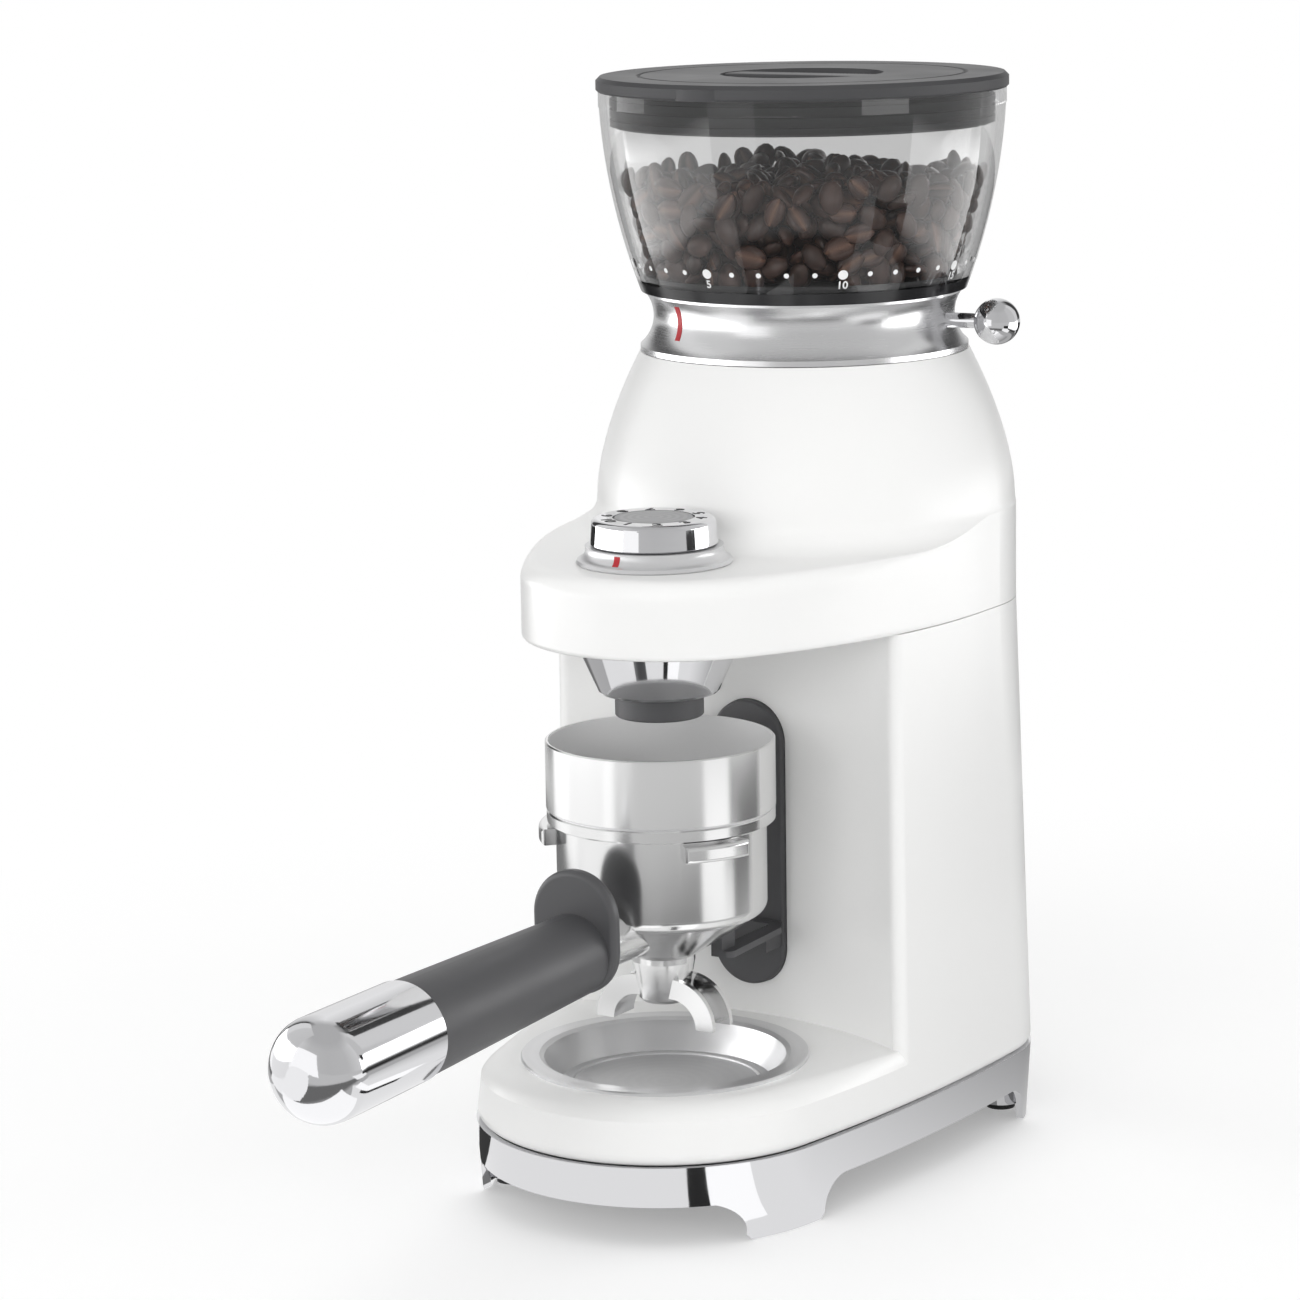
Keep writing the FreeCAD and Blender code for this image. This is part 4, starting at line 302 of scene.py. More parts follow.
def polished_steel():
    """Stainless steel, spun and polished: soft upright reflections and fine turning lines."""
    material, tree, shader, where = begin("polished_stainless_steel", Base_Color=linear("#e6e6e6"),
                                          Metallic=1.0)
    # Turning lines are about 0.1 mm apart on the real part, drawn at 0.8 mm so that they show.
    lines = turned_lines(tree, where, pitch=0.8, length=33.3)
    haze = add(tree, "ShaderNodeTexNoise", {"Vector": where, "Scale": per(25), "Detail": 2.0}).outputs["Fac"]
    surface(tree, shader, rough=(haze, 0.15, 0.19), relief=(lines, 0.0006))
    return material


def satin_steel():
    """Stainless sheet, satin brushed round the dish: broad soft highlights broken by faint rings."""
    material, tree, shader, where = begin("satin_stainless_steel", Base_Color=linear("#d6d6d7"),
                                          Metallic=0.65)
    # Brush marks are about 0.1 mm apart on the real sheet, drawn as rings 4.4 mm apart so that they show.
    rings = turned_rings(tree, where, SPOUT_Y, pitch=4.4, wander=1.5)
    surface(tree, shader, rough=(rings, 0.28, 0.34), relief=(rings, 0.0006))
    return material


def dark_abs(name, dark, pale):
    """Dark grey ABS from a spark-eroded mould: an even fine grain with a dull sheen."""
    material, tree, shader, where = begin(name, IOR=1.53)
    # The mould's grain is about 0.15 mm, drawn at 0.5 mm so that it shows.
    grain = add(tree, "ShaderNodeTexNoise", {"Vector": where, "Scale": per(0.5),
                                             "Detail": 2.0}).outputs["Fac"]
    cloud = add(tree, "ShaderNodeTexNoise", {"Vector": where, "Scale": per(30), "Detail": 2.0}).outputs["Fac"]
    surface(tree, shader, colour=(cloud, dark, pale), rough=(cloud, 0.42, 0.52), relief=(grain, 0.02),
            strength=0.5)
    return material


def button_steel():
    """Stainless button, finely turned: faint circles that scatter the light, greyer than polished steel."""
    material, tree, shader, where = begin("turned_button_steel", Base_Color=linear("#a4a4a6"), Metallic=0.9)
    # Turning lines are about 0.1 mm apart on the real button, drawn as rings 3.14 mm apart so that they show.
    rings = turned_rings(tree, where, KNOB_Y, pitch=3.14, wander=0.0)
    surface(tree, shader, rough=(rings, 0.34, 0.42), relief=(rings, 0.002))
    return material


def gloss_black_abs():
    """Black ABS from a polished mould: deep and glossy, with faint sink waves."""
    material, tree, shader, where = begin("gloss_black_abs", Base_Color=linear("#1b1b1d"), IOR=1.53)
    sink = add(tree, "ShaderNodeTexNoise", {"Vector": where, "Scale": per(14), "Detail": 1.0}).outputs["Fac"]
    surface(tree, shader, rough=(sink, 0.14, 0.2), relief=(sink, 0.006))
    return material


def funnel_steel():
    """Spun stainless funnel ring: polished outside, left satin from the spinning tool inside."""
    material, tree, shader, where = begin("spun_stainless_funnel", Base_Color=linear("#ececec"))
    level = add(tree, "ShaderNodeMapping", {"Vector": where, "Location": (0.0, -SPOUT_Y * MM, 0.0),
                                            "Scale": (1.0, 1.0, 0.0)}).outputs["Vector"]
    out = add(tree, "ShaderNodeVectorMath", {0: level}, operation="LENGTH").outputs["Value"]
    wall = {"Value": out, "From Min": FUNNEL_WALL_R * MM, "From Max": (FUNNEL_WALL_R + FUNNEL_BLEND) * MM}
    for socket, inside, outside in (("Roughness", 0.42, 0.18), ("Metallic", 0.12, 1.0)):
        side = add(tree, "ShaderNodeMapRange", {**wall, "To Min": inside, "To Max": outside})
        tree.links.new(side.outputs["Result"], shader.inputs[socket])
    # Tool lines are about 0.1 mm apart on the real ring, drawn at 0.8 mm so that they show.
    surface(tree, shader, relief=(turned_lines(tree, where, pitch=0.8, length=33.3), 0.0006))
    return material


def smoked_clear():
    """Smoked clear copolyester, injection moulded: glossy, grey where the eye looks through a lot of it."""
    material, tree, shader, where = begin("smoked_clear_copolyester", Base_Color=linear("#ffffff"), IOR=1.45,
                                          Transmission_Weight=1.0, Roughness=0.02)
    flow = add(tree, "ShaderNodeTexNoise", {"Vector": where, "Scale": per(40), "Detail": 1.0}).outputs["Fac"]
    surface(tree, shader, relief=(flow, 0.01))
    smoke = add(tree, "ShaderNodeVolumeAbsorption", {"Color": linear("#000000"), "Density": SMOKE_PER_METRE})
    tree.links.new(smoke.outputs["Volume"], tree.nodes["Material Output"].inputs["Volume"])
    return material


def collar_steel():
    """Turned steel collar, satin polished: soft upright bands of light and dark."""
    material, tree, shader, where = begin("satin_polished_collar", Base_Color=linear("#dededf"), Metallic=1.0)
    # Turning lines are about 0.08 mm apart on the real part, drawn at 0.6 mm so that they show.
    lines = turned_lines(tree, where, pitch=0.6, length=33.3)
    surface(tree, shader, rough=(lines, 0.24, 0.28), relief=(lines, 0.0005))
    return material


def black_rubber():
    """Moulded black rubber: matt, with a dusty fine grain."""
    material, tree, shader, where = begin("moulded_black_rubber", IOR=1.52)
    # The mould's grain is about 0.15 mm, drawn at 0.6 mm so that it shows.
    grain = add(tree, "ShaderNodeTexNoise", {"Vector": where, "Scale": per(0.6),
                                             "Detail": 3.0}).outputs["Fac"]
    surface(tree, shader, colour=(grain, "#1d1d1e", "#28282a"), rough=(grain, 0.62, 0.78),
            relief=(grain, 0.02), strength=0.6)
    return material


def machined_steel():
    """Turned and hardened tool steel: grey metal with visible tool lines."""
    material, tree, shader, where = begin("machined_tool_steel", Base_Color=linear("#b4b5b7"), Metallic=1.0)
    # Tool lines are about 0.1 mm apart on the real parts, drawn at 0.5 mm so that they show.
    lines = turned_lines(tree, where, pitch=0.5, length=25.0)
    surface(tree, shader, rough=(lines, 0.28, 0.42), relief=(lines, 0.004))
    return material


def cast_aluminium():
    """Die-cast aluminium, tumbled: pale, dull metal with a pebbled skin."""
    material, tree, shader, where = begin("die_cast_aluminium", Base_Color=linear("#bcbdbf"), Metallic=1.0)
    skin = add(tree, "ShaderNodeTexNoise", {"Vector": where, "Scale": per(1.2), "Detail": 3.0}).outputs["Fac"]
    surface(tree, shader, rough=(skin, 0.42, 0.6), relief=(skin, 0.03), strength=0.6)
    return material


def bearing_brass():
    """Turned brass: yellow metal with fine tool lines."""
    material, tree, shader, where = begin("turned_brass", Base_Color=linear("#cfae6a"), Metallic=1.0)
    # Tool lines are about 0.1 mm apart on the real parts, drawn at 0.4 mm so that they show.
    lines = turned_lines(tree, where, pitch=0.4, length=25.0)
    surface(tree, shader, rough=(lines, 0.2, 0.34), relief=(lines, 0.003))
    return material


def natural_nylon():
    """Uncoloured nylon: waxy off-white with a little light passing in."""
    material, tree, shader, where = begin("natural_nylon", IOR=1.53, Subsurface_Weight=0.15,
                                          Subsurface_Radius=(0.002, 0.0018, 0.0014))
    cloud = add(tree, "ShaderNodeTexNoise", {"Vector": where, "Scale": per(8), "Detail": 2.0}).outputs["Fac"]
    surface(tree, shader, colour=(cloud, "#e2dfd4", "#d8d4c6"), rough=(cloud, 0.4, 0.5))
    return material


def board_green():
    """Green solder mask over glass fibre: satin, with the weave faintly showing."""
    material, tree, shader, where = begin("solder_mask_board", IOR=1.55)
    weave = add(tree, "ShaderNodeTexChecker", {"Vector": where, "Scale": per(0.8),
                                               "Color1": linear("#1e5a34"), "Color2": linear("#226339")})
    tree.links.new(weave.outputs["Color"], shader.inputs["Base Color"])
    surface(tree, shader, rough=(weave.outputs["Fac"], 0.3, 0.38))
    return material


def white_ink():
    """Screen-printed white ink: flat white with a slightly uneven film."""
    material, tree, shader, where = begin("white_screen_ink", Roughness=0.5)
    film = add(tree, "ShaderNodeTexNoise", {"Vector": where, "Scale": per(0.7), "Detail": 2.0}).outputs["Fac"]
    surface(tree, shader, colour=(film, "#f7f7f7", "#ebebeb"))
    return material


def black_ink():
    """Black filling in engraved figures: dull, with thin spots."""
    material, tree, shader, where = begin("black_filled_engraving", Roughness=0.55)
    film = add(tree, "ShaderNodeTexNoise", {"Vector": where, "Scale": per(0.7), "Detail": 2.0}).outputs["Fac"]
    surface(tree, shader, colour=(film, "#19191a", "#2c2c2d"))
    return material


def red_enamel():
    """Red enamel in a mark: deep red with a soft sheen, a little uneven in depth."""
    material, tree, shader, where = begin("red_enamel", Roughness=0.45)
    film = add(tree, "ShaderNodeTexNoise", {"Vector": where, "Scale": per(1.5), "Detail": 1.0}).outputs["Fac"]
    surface(tree, shader, colour=(film, "#a3121f", "#b81a26"))
    return material


def roasted_bean():
    """Roasted coffee bean: dark brown skin with an oily sheen, fine wrinkles, and a paler crease."""
    material, tree, shader, where = begin("roasted_coffee_bean", IOR=1.47)
    roast = add(tree, "ShaderNodeAttribute", attribute_name="roast").outputs["Fac"]
    crease = add(tree, "ShaderNodeAttribute", attribute_name="crease").outputs["Fac"]
    mottle = add(tree, "ShaderNodeTexNoise", {"Vector": where, "Scale": per(3), "Detail": 4.0}).outputs["Fac"]
    wrinkle = add(tree, "ShaderNodeTexNoise", {"Vector": where, "Scale": per(1.3), "Detail": 4.0,
                                               "Distortion": 1.2}).outputs["Fac"]
    spots = add(tree, "ShaderNodeMapRange", {"Value": mottle, **PATTERN_RANGE, "To Min": 0.0,
                                             "To Max": 0.45}).outputs["Result"]
    skin = add(tree, "ShaderNodeMix", {"Factor": roast, "A": linear("#39261f"), "B": linear("#543a30")},
               data_type="RGBA").outputs["Result"]
    spotted = add(tree, "ShaderNodeMix", {"Factor": spots, "A": skin, "B": linear("#30211b")},
                  data_type="RGBA").outputs["Result"]
    creased = add(tree, "ShaderNodeMix", {"Factor": crease, "A": spotted, "B": linear("#7c5d4d")},
                  data_type="RGBA").outputs["Result"]
    tree.links.new(creased, shader.inputs["Base Color"])
    surface(tree, shader, rough=(mottle, 0.3, 0.5), relief=(wrinkle, 0.25), strength=0.6)
    return material


# Finishes by the record's material slots, and those of single nodes that differ from the rest of their slot.
FINISHES = {
    "white_housing": white_lacquer(),
    "chrome": chrome_plate(),
    "satin_steel": satin_steel(),
    "polished_steel": polished_steel(),
    "dark_plastic": dark_abs("dark_moulded_abs", "#464648", "#4c4c4e"),
    "smoked_clear": smoked_clear(),
    "black_rubber": black_rubber(),
    "machined_steel": machined_steel(),
    "cast_aluminium": cast_aluminium(),
    "bearing_brass": bearing_brass(),
    "natural_plastic": natural_nylon(),
    "board_green": board_green(),
}
OWN_FINISHES = {
    "hopper_base": gloss_black_abs(),
    "dosing_ring": funnel_steel(),
    "adjust_collar": collar_steel(),
    "start_button": button_steel(),
    "hopper_lid": dark_abs("lid_moulded_abs", "#3a3a3c", "#404042"),
}
WHITE_INK = white_ink()
BLACK_INK = black_ink()
RED_ENAMEL = red_enamel()
ROASTED_BEAN = roasted_bean()


def paint(piece, material):
    """Gives a piece one material all over."""
    piece.data.materials.clear()
    piece.data.materials.append(material)


def clear_selection():
    """Leaves edit mode and deselects every object."""
    if bpy.context.mode != "OBJECT":
        bpy.ops.object.mode_set(mode="OBJECT")
    bpy.ops.object.select_all(action="DESELECT")


def pick(piece):
    """Selects one object alone and makes it the active one."""
    clear_selection()
    piece.select_set(True)
    bpy.context.view_layer.objects.active = piece


def copy_of(model):
    """Copies a modelled form, with a mesh of its own."""
    copy = bpy.data.objects.new(model.name, model.data.copy())
    bpy.context.scene.collection.objects.link(copy)
    return copy


def join(pieces):
    """Joins pieces into the first of them."""
    pick(pieces[0])
    for piece in pieces:
        piece.select_set(True)
    bpy.ops.object.join()
    return pieces[0]


def apply_modifier(piece, kind, **settings):
    """Adds a modifier with its settings and applies it."""
    pick(piece)
    bpy.ops.object.modifier_add(type=kind)
    modifier = piece.modifiers[-1]
    for name, value in settings.items():
        setattr(modifier, name, value)
    bpy.ops.object.modifier_apply(modifier=modifier.name)


def settle(piece, name, body, material):
    """Puts a finished piece at the origin, names it, and lets it ride on its body."""
    pick(piece)
    bpy.ops.object.transform_apply(location=True, rotation=True, scale=True)
    piece.name = name
    piece.data.name = name
    paint(piece, material)
    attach(piece, body)


def around(angle):
    """Level direction away from an upright axis, in degrees from the front, +X counted up."""
    turn = math.radians(angle)
    return Vector((math.sin(turn), -math.cos(turn), 0.0))


def stand_on(place, normal, out):
    """Frame on a surface: Z along its normal, and X level and square to the way out from an upright axis."""
    across = UP.cross(out).normalized()
    axes = Matrix((across, normal.cross(across), normal)).transposed().to_4x4()
    return Matrix.Translation(place) @ axes


def on_wall(node, z, angle, axis_y=0.0):
    """Frame where a level ray towards an upright axis first meets a CAD node."""
    out = around(angle)
    centre = Vector((0.0, axis_y * MM, z * MM))
    hit, place, normal, _ = NODES[node].ray_cast(centre + out * RAY_START * MM, -out)
    if not hit:
        raise ValueError("nothing of " + node + " at height " + str(z))
    return stand_on(place, normal, normal)


def wrap(mark, node, film):
    """Draws a mark onto a CAD node's face and gives it the thickness of its film."""
    apply_modifier(mark, "SHRINKWRAP", target=NODES[node], wrap_method="NEAREST_SURFACEPOINT",
                   wrap_mode="ABOVE_SURFACE", offset=film * MM)
    apply_modifier(mark, "SOLIDIFY", thickness=film * MM, offset=-1.0)


def ink_disc(radius):
    """A printed dot, ringed so that it can follow a curved wall."""
    clear_selection()
    bpy.ops.mesh.primitive_circle_add(vertices=DOT_SIDES, radius=radius * MM, fill_type="NGON")
    disc = bpy.context.object
    bpy.ops.object.mode_set(mode="EDIT")
    for share in DOT_INSETS:
        bpy.ops.mesh.inset(thickness=radius * MM * share)
    bpy.ops.object.mode_set(mode="OBJECT")
    return disc


def figure(words, height, wider=1.0):
    """A plain number as a flat mesh, centred, and drawn wider than the plain lettering by a factor."""
    clear_selection()
    bpy.ops.object.text_add()
    text = bpy.context.object
    text.data.body = words
    text.data.size = height * MM / FIGURE_SHARE
    text.data.align_x = "CENTER"
    text.data.align_y = "CENTER"
    text.data.resolution_u = FIGURE_CURVE_STEPS
    text.data.offset = FIGURE_BOLDER * height * MM
    bpy.ops.object.convert(target="MESH")
    number = bpy.context.object
    number.data.transform(Matrix.Diagonal((wider, 1.0, 1.0, 1.0)))
    return number


def hopper_scale():
    """Printed dots and plain numbers round the foot of the hopper."""
    big = ink_disc(BIG_DOT_R)
    small = ink_disc(SMALL_DOT_R)
    marks = []
    for step in range(LAST_NUMBER + 1):
        angle = ZERO_DOT + step * DOT_STEP
        numbered = step % NUMBER_EVERY == 0
        dot = copy_of(big if numbered else small)
        dot.data.transform(on_wall("hopper", DOT_Z, angle))
        marks.append(dot)
        if numbered:
            number = figure(str(step), NUMBER_HEIGHT)
            number.data.transform(on_wall("hopper", NUMBER_Z, angle))
            marks.append(number)
    for model in (big, small):
        bpy.data.objects.remove(model)
    scale = join(marks)
    wrap(scale, "hopper", INK)
    settle(scale, "hopper_scale", "bean_hopper", WHITE_INK)


def red_mark(name, node, body, slot, z, angle, axis_y, width, height, cuts, film):
    """Red enamel line down a wall, which a scale is read against."""
    clear_selection()
    bpy.ops.mesh.primitive_plane_add(size=MM)
    mark = bpy.context.object
    bpy.ops.object.mode_set(mode="EDIT")
    bpy.ops.transform.resize(value=(width, height, 1.0))
    bpy.ops.mesh.subdivide(number_cuts=cuts)
    bpy.ops.object.mode_set(mode="OBJECT")
    mark.data.transform(on_wall(node, z, angle, axis_y))
    wrap(mark, node, film)
    settle(mark, name, body, RED_ENAMEL)


def knob_numbers():
    """Plain numbers round the top of the dial."""
    middle = Vector((0.0, KNOB_Y * MM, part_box("dose_knob")[1].z))
    marks = []
    for step in range(KNOB_NUMBERS):
        out = around(step * 360.0 / KNOB_NUMBERS)
        number = figure(str(step + 1), KNOB_NUMBER_HEIGHT, KNOB_NUMBER_WIDER)
        number.data.transform(stand_on(middle + out * KNOB_NUMBER_R * MM, UP, out))
        marks.append(number)
    numbers = join(marks)
    apply_modifier(numbers, "SOLIDIFY", thickness=INK * MM, offset=1.0)
    settle(numbers, "knob_numbers", "knob", BLACK_INK)


def bean_shape():
    """One bean: a long rounded form with a flat belly and a crease along it."""
    clear_selection()
    bpy.ops.mesh.primitive_uv_sphere_add(segments=BEAN_SEGMENTS, ring_count=BEAN_RINGS, radius=0.5 * MM,
                                         rotation=(0, math.pi / 2, 0))
    bean = bpy.context.object
    bpy.ops.object.transform_apply(rotation=True)
    bpy.ops.object.mode_set(mode="EDIT")
    bpy.ops.transform.resize(value=(BEAN_LENGTH, BEAN_WIDTH, BEAN_THICKNESS))
    bpy.ops.object.mode_set(mode="OBJECT")
    crease = bean.data.attributes.new("crease", "FLOAT", "POINT")
    for vertex in bean.data.vertices:
        if vertex.co.z < 0:
            vertex.co.z *= BELLY_SHARE
        inner = vertex.co.z < 0 and abs(vertex.co.y) < CREASE_HALF_WIDTH * MM
        if inner and abs(vertex.co.x) < CREASE_HALF_LENGTH * MM:
            vertex.co.z += CREASE_DEPTH * MM
            crease.data[vertex.index].value = 1.0
    return bean


def bean_room(z):
    """Inside radius of the hopper at a height, in millimetres."""
    place = on_wall("hopper", z, ROOM_ANGLE).translation
    return math.hypot(place.x, place.y) / MM - HOPPER_WALL


def bean_places():
    """Seeded places for the beans, no two nearer than their spacing, under an uneven top."""
    chance = random.Random(BEAN_SEED)
    cells = {}
    places = []
    highest = BEAN_TOP_Z + HEAP_REACH
    first_room = int(BEAN_FLOOR_Z) // ROOM_STEP * ROOM_STEP
    rooms = {z: bean_room(z) for z in range(first_room, int(highest) + 1, ROOM_STEP)}
    for _ in range(BEAN_TRIES):
        z = chance.uniform(BEAN_FLOOR_Z, highest)
        room = rooms[int(z) // ROOM_STEP * ROOM_STEP] - BEAN_CLEAR
        angle = chance.uniform(0, math.tau)
        radius = room * math.sqrt(chance.random())
        x = radius * math.cos(angle)
        y = radius * math.sin(angle)
        wave = math.sin(x / HEAP_LENGTHS[0] + HEAP_PHASE) * math.cos(y / HEAP_LENGTHS[1])
        if z > BEAN_TOP_Z + HEAP_WAVE * wave:
            continue
        key = (int(x // BEAN_SPACING), int(y // BEAN_SPACING), int(z // BEAN_SPACING))
        near = [p for i in (-1, 0, 1) for j in (-1, 0, 1) for k in (-1, 0, 1)
                for p in cells.get((key[0] + i, key[1] + j, key[2] + k), ())]
        if any((x - p[0]) ** 2 + (y - p[1]) ** 2 + (z - p[2]) ** 2 < BEAN_SPACING ** 2 for p in near):
            continue
        cells.setdefault(key, []).append((x, y, z))
        places.append((x, y, z, room - radius))
    return places


def coffee_beans():
    """The beans in the hopper, each turned its own way; those at the wall lie flat against it."""
    chance = random.Random(BEAN_SEED + 1)
    model = bean_shape()
    beans = []
    for x, y, z, depth in bean_places():
        bean = copy_of(model)
        spin = Matrix.Rotation(chance.uniform(0, math.tau), 4, "Z")
        flip = Matrix.Rotation(chance.choice((0.0, math.pi)), 4, "X")
        lean = WALL_LEAN if depth < AT_WALL else FREE_LEAN
        nod = Matrix.Rotation(chance.gauss(0, lean), 4, "X")
        sway = Matrix.Rotation(chance.gauss(0, lean * SIDE_LEAN), 4, "Y")
        turn = nod @ sway @ spin @ flip
        if depth < AT_WALL:
            outward = Vector((x, y, 0)).normalized()
            turn = outward.to_track_quat("Z", "X").to_matrix().to_4x4() @ turn
        size = Matrix.Scale(chance.uniform(*BEAN_SIZES), 4)
        bean.data.transform(Matrix.Translation(Vector((x, y, z)) * MM) @ turn @ size)
        roast = bean.data.attributes.new("roast", "FLOAT", "POINT")
        shade = chance.random()
        roast.data.foreach_set("value", [shade] * len(bean.data.vertices))
        beans.append(bean)
    bpy.data.objects.remove(model)
    pile = join(beans)
    bpy.ops.object.shade_smooth_by_angle(angle=math.radians(BEAN_SMOOTH_ANGLE))
    settle(pile, "coffee_beans", "bean_hopper", ROASTED_BEAN)


def camera():
    """Camera at the photograph's viewing angle."""
    data = bpy.data.cameras.new("camera")
    data.sensor_width = SENSOR
    data.lens = SENSOR * FOCAL_PIXELS / IMAGE_PIXELS
    data.clip_end = VIEW_ENDS
    eye = bpy.data.objects.new("camera", data)
    bpy.context.scene.collection.objects.link(eye)
    heading = Matrix.Rotation(math.radians(CAMERA_HEADING), 4, "Z")
    pitch = Matrix.Rotation(math.radians(90.0 - CAMERA_PITCH), 4, "X")
    roll = Matrix.Rotation(math.radians(CAMERA_ROLL), 4, "Z")
    eye.matrix_world = Matrix.Translation(CAMERA_PLACE) @ heading @ pitch @ roll
    bpy.context.scene.camera = eye


def bare_tree(owner):
    """Empties the nodes of a material or of the world."""
    owner.use_nodes = True
    owner.node_tree.nodes.clear()
    return owner.node_tree


def seen_rays(tree):
    """1 on rays from the camera and on rays through clear walls, and 0 on the others."""
    path = add(tree, "ShaderNodeLightPath").outputs
    return add(tree, "ShaderNodeMath", {0: path["Is Camera Ray"], 1: path["Is Transmission Ray"]},
               operation="MAXIMUM").outputs["Value"]


def studio():
    """Tent: grey behind the camera, white at the sides, dark flags further round, white behind the object."""
    world = bpy.data.worlds.new("studio")
    bpy.context.scene.world = world
    tree = bare_tree(world)
    where = add(tree, "ShaderNodeTexCoord").outputs["Generated"]
    # Turned so that the gradient's middle lies behind the camera and its two ends meet behind the object.
    turn = (0.0, 0.0, math.radians(90.0 - CAMERA_HEADING))
    turned = add(tree, "ShaderNodeMapping", {"Vector": where, "Rotation": turn}).outputs["Vector"]
    round_about = add(tree, "ShaderNodeTexGradient", {"Vector": turned}, gradient_type="RADIAL")
    stops = [(0.5 + angle / 360.0, level) for angle, level in TENT_WALLS]
    walls = add(tree, "ShaderNodeValToRGB", {"Fac": round_about.outputs["Fac"]}, stops=stops).outputs["Color"]
    height = add(tree, "ShaderNodeSeparateXYZ", {"Vector": where}).outputs["Z"]
    roof = add(tree, "ShaderNodeMapRange", {"Value": height, "From Min": ROOF_BEGINS, "From Max": ROOF_FULL})
    tent = add(tree, "ShaderNodeMix", {"Factor": roof.outputs["Result"], "A": walls, "B": grey(TENT_ROOF)},
               data_type="RGBA").outputs["Result"]
    lit = add(tree, "ShaderNodeBackground", {"Color": tent}).outputs["Background"]
    white = add(tree, "ShaderNodeBackground", {"Color": grey(1.0)}).outputs["Background"]
    both = add(tree, "ShaderNodeMixShader", {0: seen_rays(tree), 1: lit, 2: white}).outputs["Shader"]
    add(tree, "ShaderNodeOutputWorld", {"Surface": both})


def white_floor():
    """Matt white paper, plain white to the camera further out; polished faces mirror it in grey rings."""
    material = bpy.data.materials.new("white_floor")
    tree = bare_tree(material)
    where = add(tree, "ShaderNodeTexCoord").outputs["Object"]
    away = add(tree, "ShaderNodeVectorMath", {0: where}, operation="LENGTH").outputs["Value"]
    far = add(tree, "ShaderNodeMapRange", {"Value": away, "From Min": FLOOR_NEAR, "From Max": FLOOR_FAR},
              interpolation_type="SMOOTHSTEP").outputs["Result"]
    seen = seen_rays(tree)
    whitened = add(tree, "ShaderNodeMath", {0: seen, 1: far}, operation="MULTIPLY").outputs["Value"]
    lift = add(tree, "ShaderNodeMath", {0: seen, 1: FLOOR_LIFT}, operation="MULTIPLY").outputs["Value"]
    matt = add(tree, "ShaderNodeBsdfDiffuse", {"Color": linear("#e6e6e6")}).outputs["BSDF"]
    glow = add(tree, "ShaderNodeEmission", {"Color": grey(1.0), "Strength": lift}).outputs["Emission"]
    lit = add(tree, "ShaderNodeAddShader", {0: matt, 1: glow}).outputs["Shader"]
    white = add(tree, "ShaderNodeEmission", {"Color": grey(1.0)}).outputs["Emission"]
    plain = add(tree, "ShaderNodeMixShader", {0: whitened, 1: lit, 2: white}).outputs["Shader"]
    rings = add(tree, "ShaderNodeValToRGB", {"Fac": away}, stops=FLOOR_MIRRORED).outputs["Color"]
    mirrored = add(tree, "ShaderNodeEmission", {"Color": rings}).outputs["Emission"]
    polished = add(tree, "ShaderNodeLightPath").outputs["Is Glossy Ray"]
    whole = add(tree, "ShaderNodeMixShader", {0: polished, 1: plain, 2: mirrored}).outputs["Shader"]
    add(tree, "ShaderNodeOutputMaterial", {"Surface": whole})
    return material


def floor():
    """Plain white floor that keeps the object's shadow."""
    clear_selection()
    bpy.ops.mesh.primitive_circle_add(vertices=FLOOR_SIDES, radius=FLOOR_R, fill_type="NGON")
    ground = bpy.context.object
    ground.name = "floor"
    paint(ground, white_floor())


def mirrored_only(board, name, level, across=(), upwards=()):
    """Makes a plane a panel or card that only polished and clear faces mirror, graded along its own UV."""
    board.name = name
    material = bpy.data.materials.new(name)
    tree = bare_tree(material)
    where = add(tree, "ShaderNodeTexCoord").outputs["UV"]
    place = add(tree, "ShaderNodeSeparateXYZ", {"Vector": where}).outputs
    colour = grey(1.0)
    for axis, stops in (("X", across), ("Y", upwards)):
        if stops:
            grade = add(tree, "ShaderNodeValToRGB", {"Fac": place[axis]}, stops=stops).outputs["Color"]
            colour = add(tree, "ShaderNodeMix", {"Factor": 1.0, "A": colour, "B": grade}, data_type="RGBA",
                         blend_type="MULTIPLY").outputs["Result"]
    glow = add(tree, "ShaderNodeEmission", {"Color": colour, "Strength": level}).outputs["Emission"]
    add(tree, "ShaderNodeOutputMaterial", {"Surface": glow})
    paint(board, material)
    for rays in ("camera", "diffuse", "transmission", "shadow", "volume_scatter"):
        setattr(board, "visible_" + rays, False)


def panel(name, angle, half_width, distance, foot, top, level, across=(), upwards=()):
    """Upright panel or flag beside the object."""
    clear_selection()
    bpy.ops.mesh.primitive_plane_add(size=1.0, rotation=(math.pi / 2, 0, 0))
    board = bpy.context.object
    bpy.ops.object.transform_apply(rotation=True)
    width = 2 * distance * math.tan(math.radians(half_width))
    turn = Matrix.Rotation(math.radians(angle + CAMERA_HEADING), 4, "Z")
    away = Matrix.Translation((0, -distance, (foot + top) / 2))
    board.data.transform(turn @ away @ Matrix.Diagonal((width, 1.0, top - foot, 1.0)))
    mirrored_only(board, name, level, across, upwards)


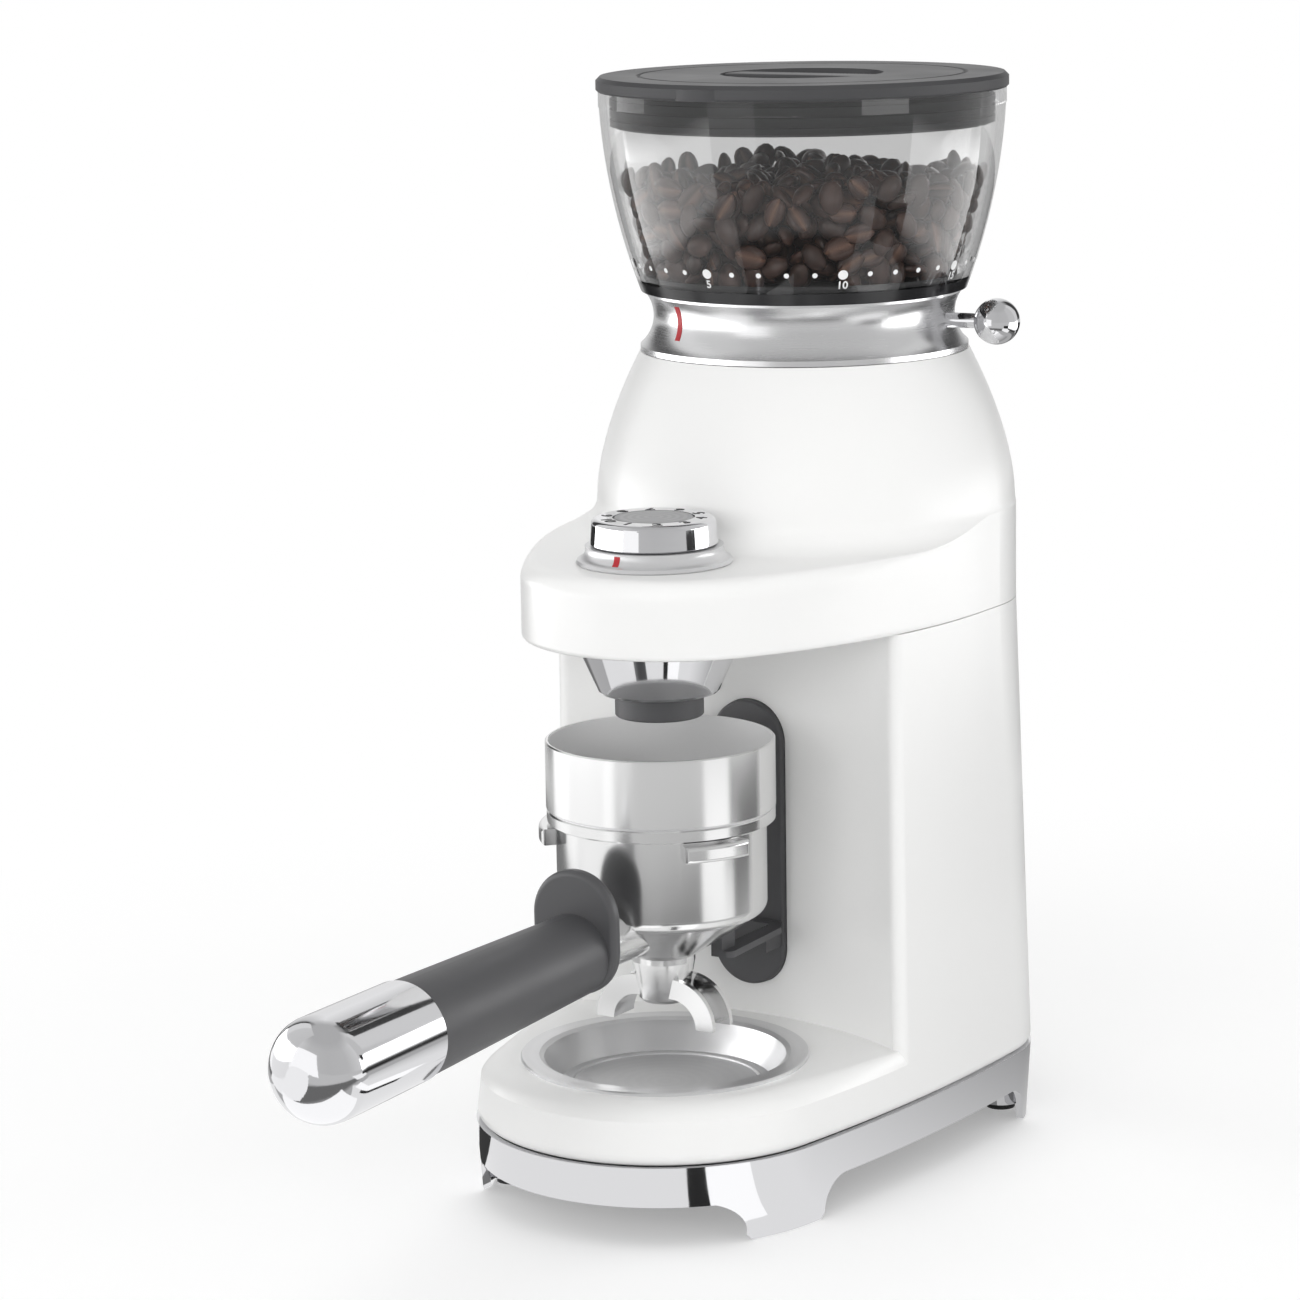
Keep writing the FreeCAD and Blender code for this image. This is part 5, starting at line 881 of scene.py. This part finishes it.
def pale_card():
    """Card under the object, which its chrome foot mirrors."""
    clear_selection()
    bpy.ops.mesh.primitive_plane_add(size=2 * PALE_CARD_HALF, location=(0, PALE_CARD_Y, PALE_CARD_Z))
    card = bpy.context.object
    bpy.ops.object.transform_apply(location=True)
    mirrored_only(card, "pale_card", 1.0, upwards=PALE_CARD_STOPS)


def shadow_card():
    """The dark of the object's own shadow, round in front and drawn out to the rear like the foot."""
    low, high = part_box("bottom_cover")
    middle_y = low.y + high.x
    clear_selection()
    bpy.ops.mesh.primitive_circle_add(vertices=SHADOW_CARD_SIDES, radius=SHADOW_CARD_SHARE * high.x,
                                      fill_type="NGON", location=(0, middle_y, SHADOW_CARD_Z))
    card = bpy.context.object
    bpy.ops.object.transform_apply(location=True)
    for vertex in card.data.vertices:
        if vertex.co.y > middle_y:
            vertex.co.y = high.y
    mirrored_only(card, "shadow_card", SHADOW_CARD_LEVEL)


def sector_card(name, first, last, near, far, level):
    """Card over a sector of the floor, between two angles and two distances."""
    clear_selection()
    bpy.ops.mesh.primitive_plane_add(size=1.0)
    card = bpy.context.object
    corners = [(first, near), (last, near), (first, far), (last, far)]
    for vertex, (angle, distance) in zip(card.data.vertices, corners):
        vertex.co = Vector((0.0, SPOUT_Y * MM, SECTOR_CARD_Z)) + around(angle) * distance
    mirrored_only(card, name, level)


def lamp(name, place, size, power, target=LAMP_TARGET):
    """Soft rectangular lamp that polished faces don't mirror."""
    data = bpy.data.lights.new(name, "AREA")
    data.shape = "RECTANGLE"
    data.size, data.size_y = size
    data.energy = power
    light = bpy.data.objects.new(name, data)
    bpy.context.scene.collection.objects.link(light)
    light.location = place
    light.visible_glossy = False
    light.rotation_euler = (Vector(target) - Vector(place)).to_track_quat("-Z", "Y").to_euler()


for node, slot in SLOT_OF.items():
    paint(NODES[node], OWN_FINISHES.get(node, FINISHES[slot]))

hopper_scale()
for settings in RED_MARKS:
    red_mark(**settings)
knob_numbers()
coffee_beans()

camera()
studio()
floor()
for settings in PANELS:
    panel(**settings)
pale_card()
shadow_card()
for settings in SECTOR_CARDS:
    sector_card(**settings)
for settings in LAMPS:
    lamp(**settings)

bpy.context.scene.view_settings.view_transform = "Standard"
clear_selection()
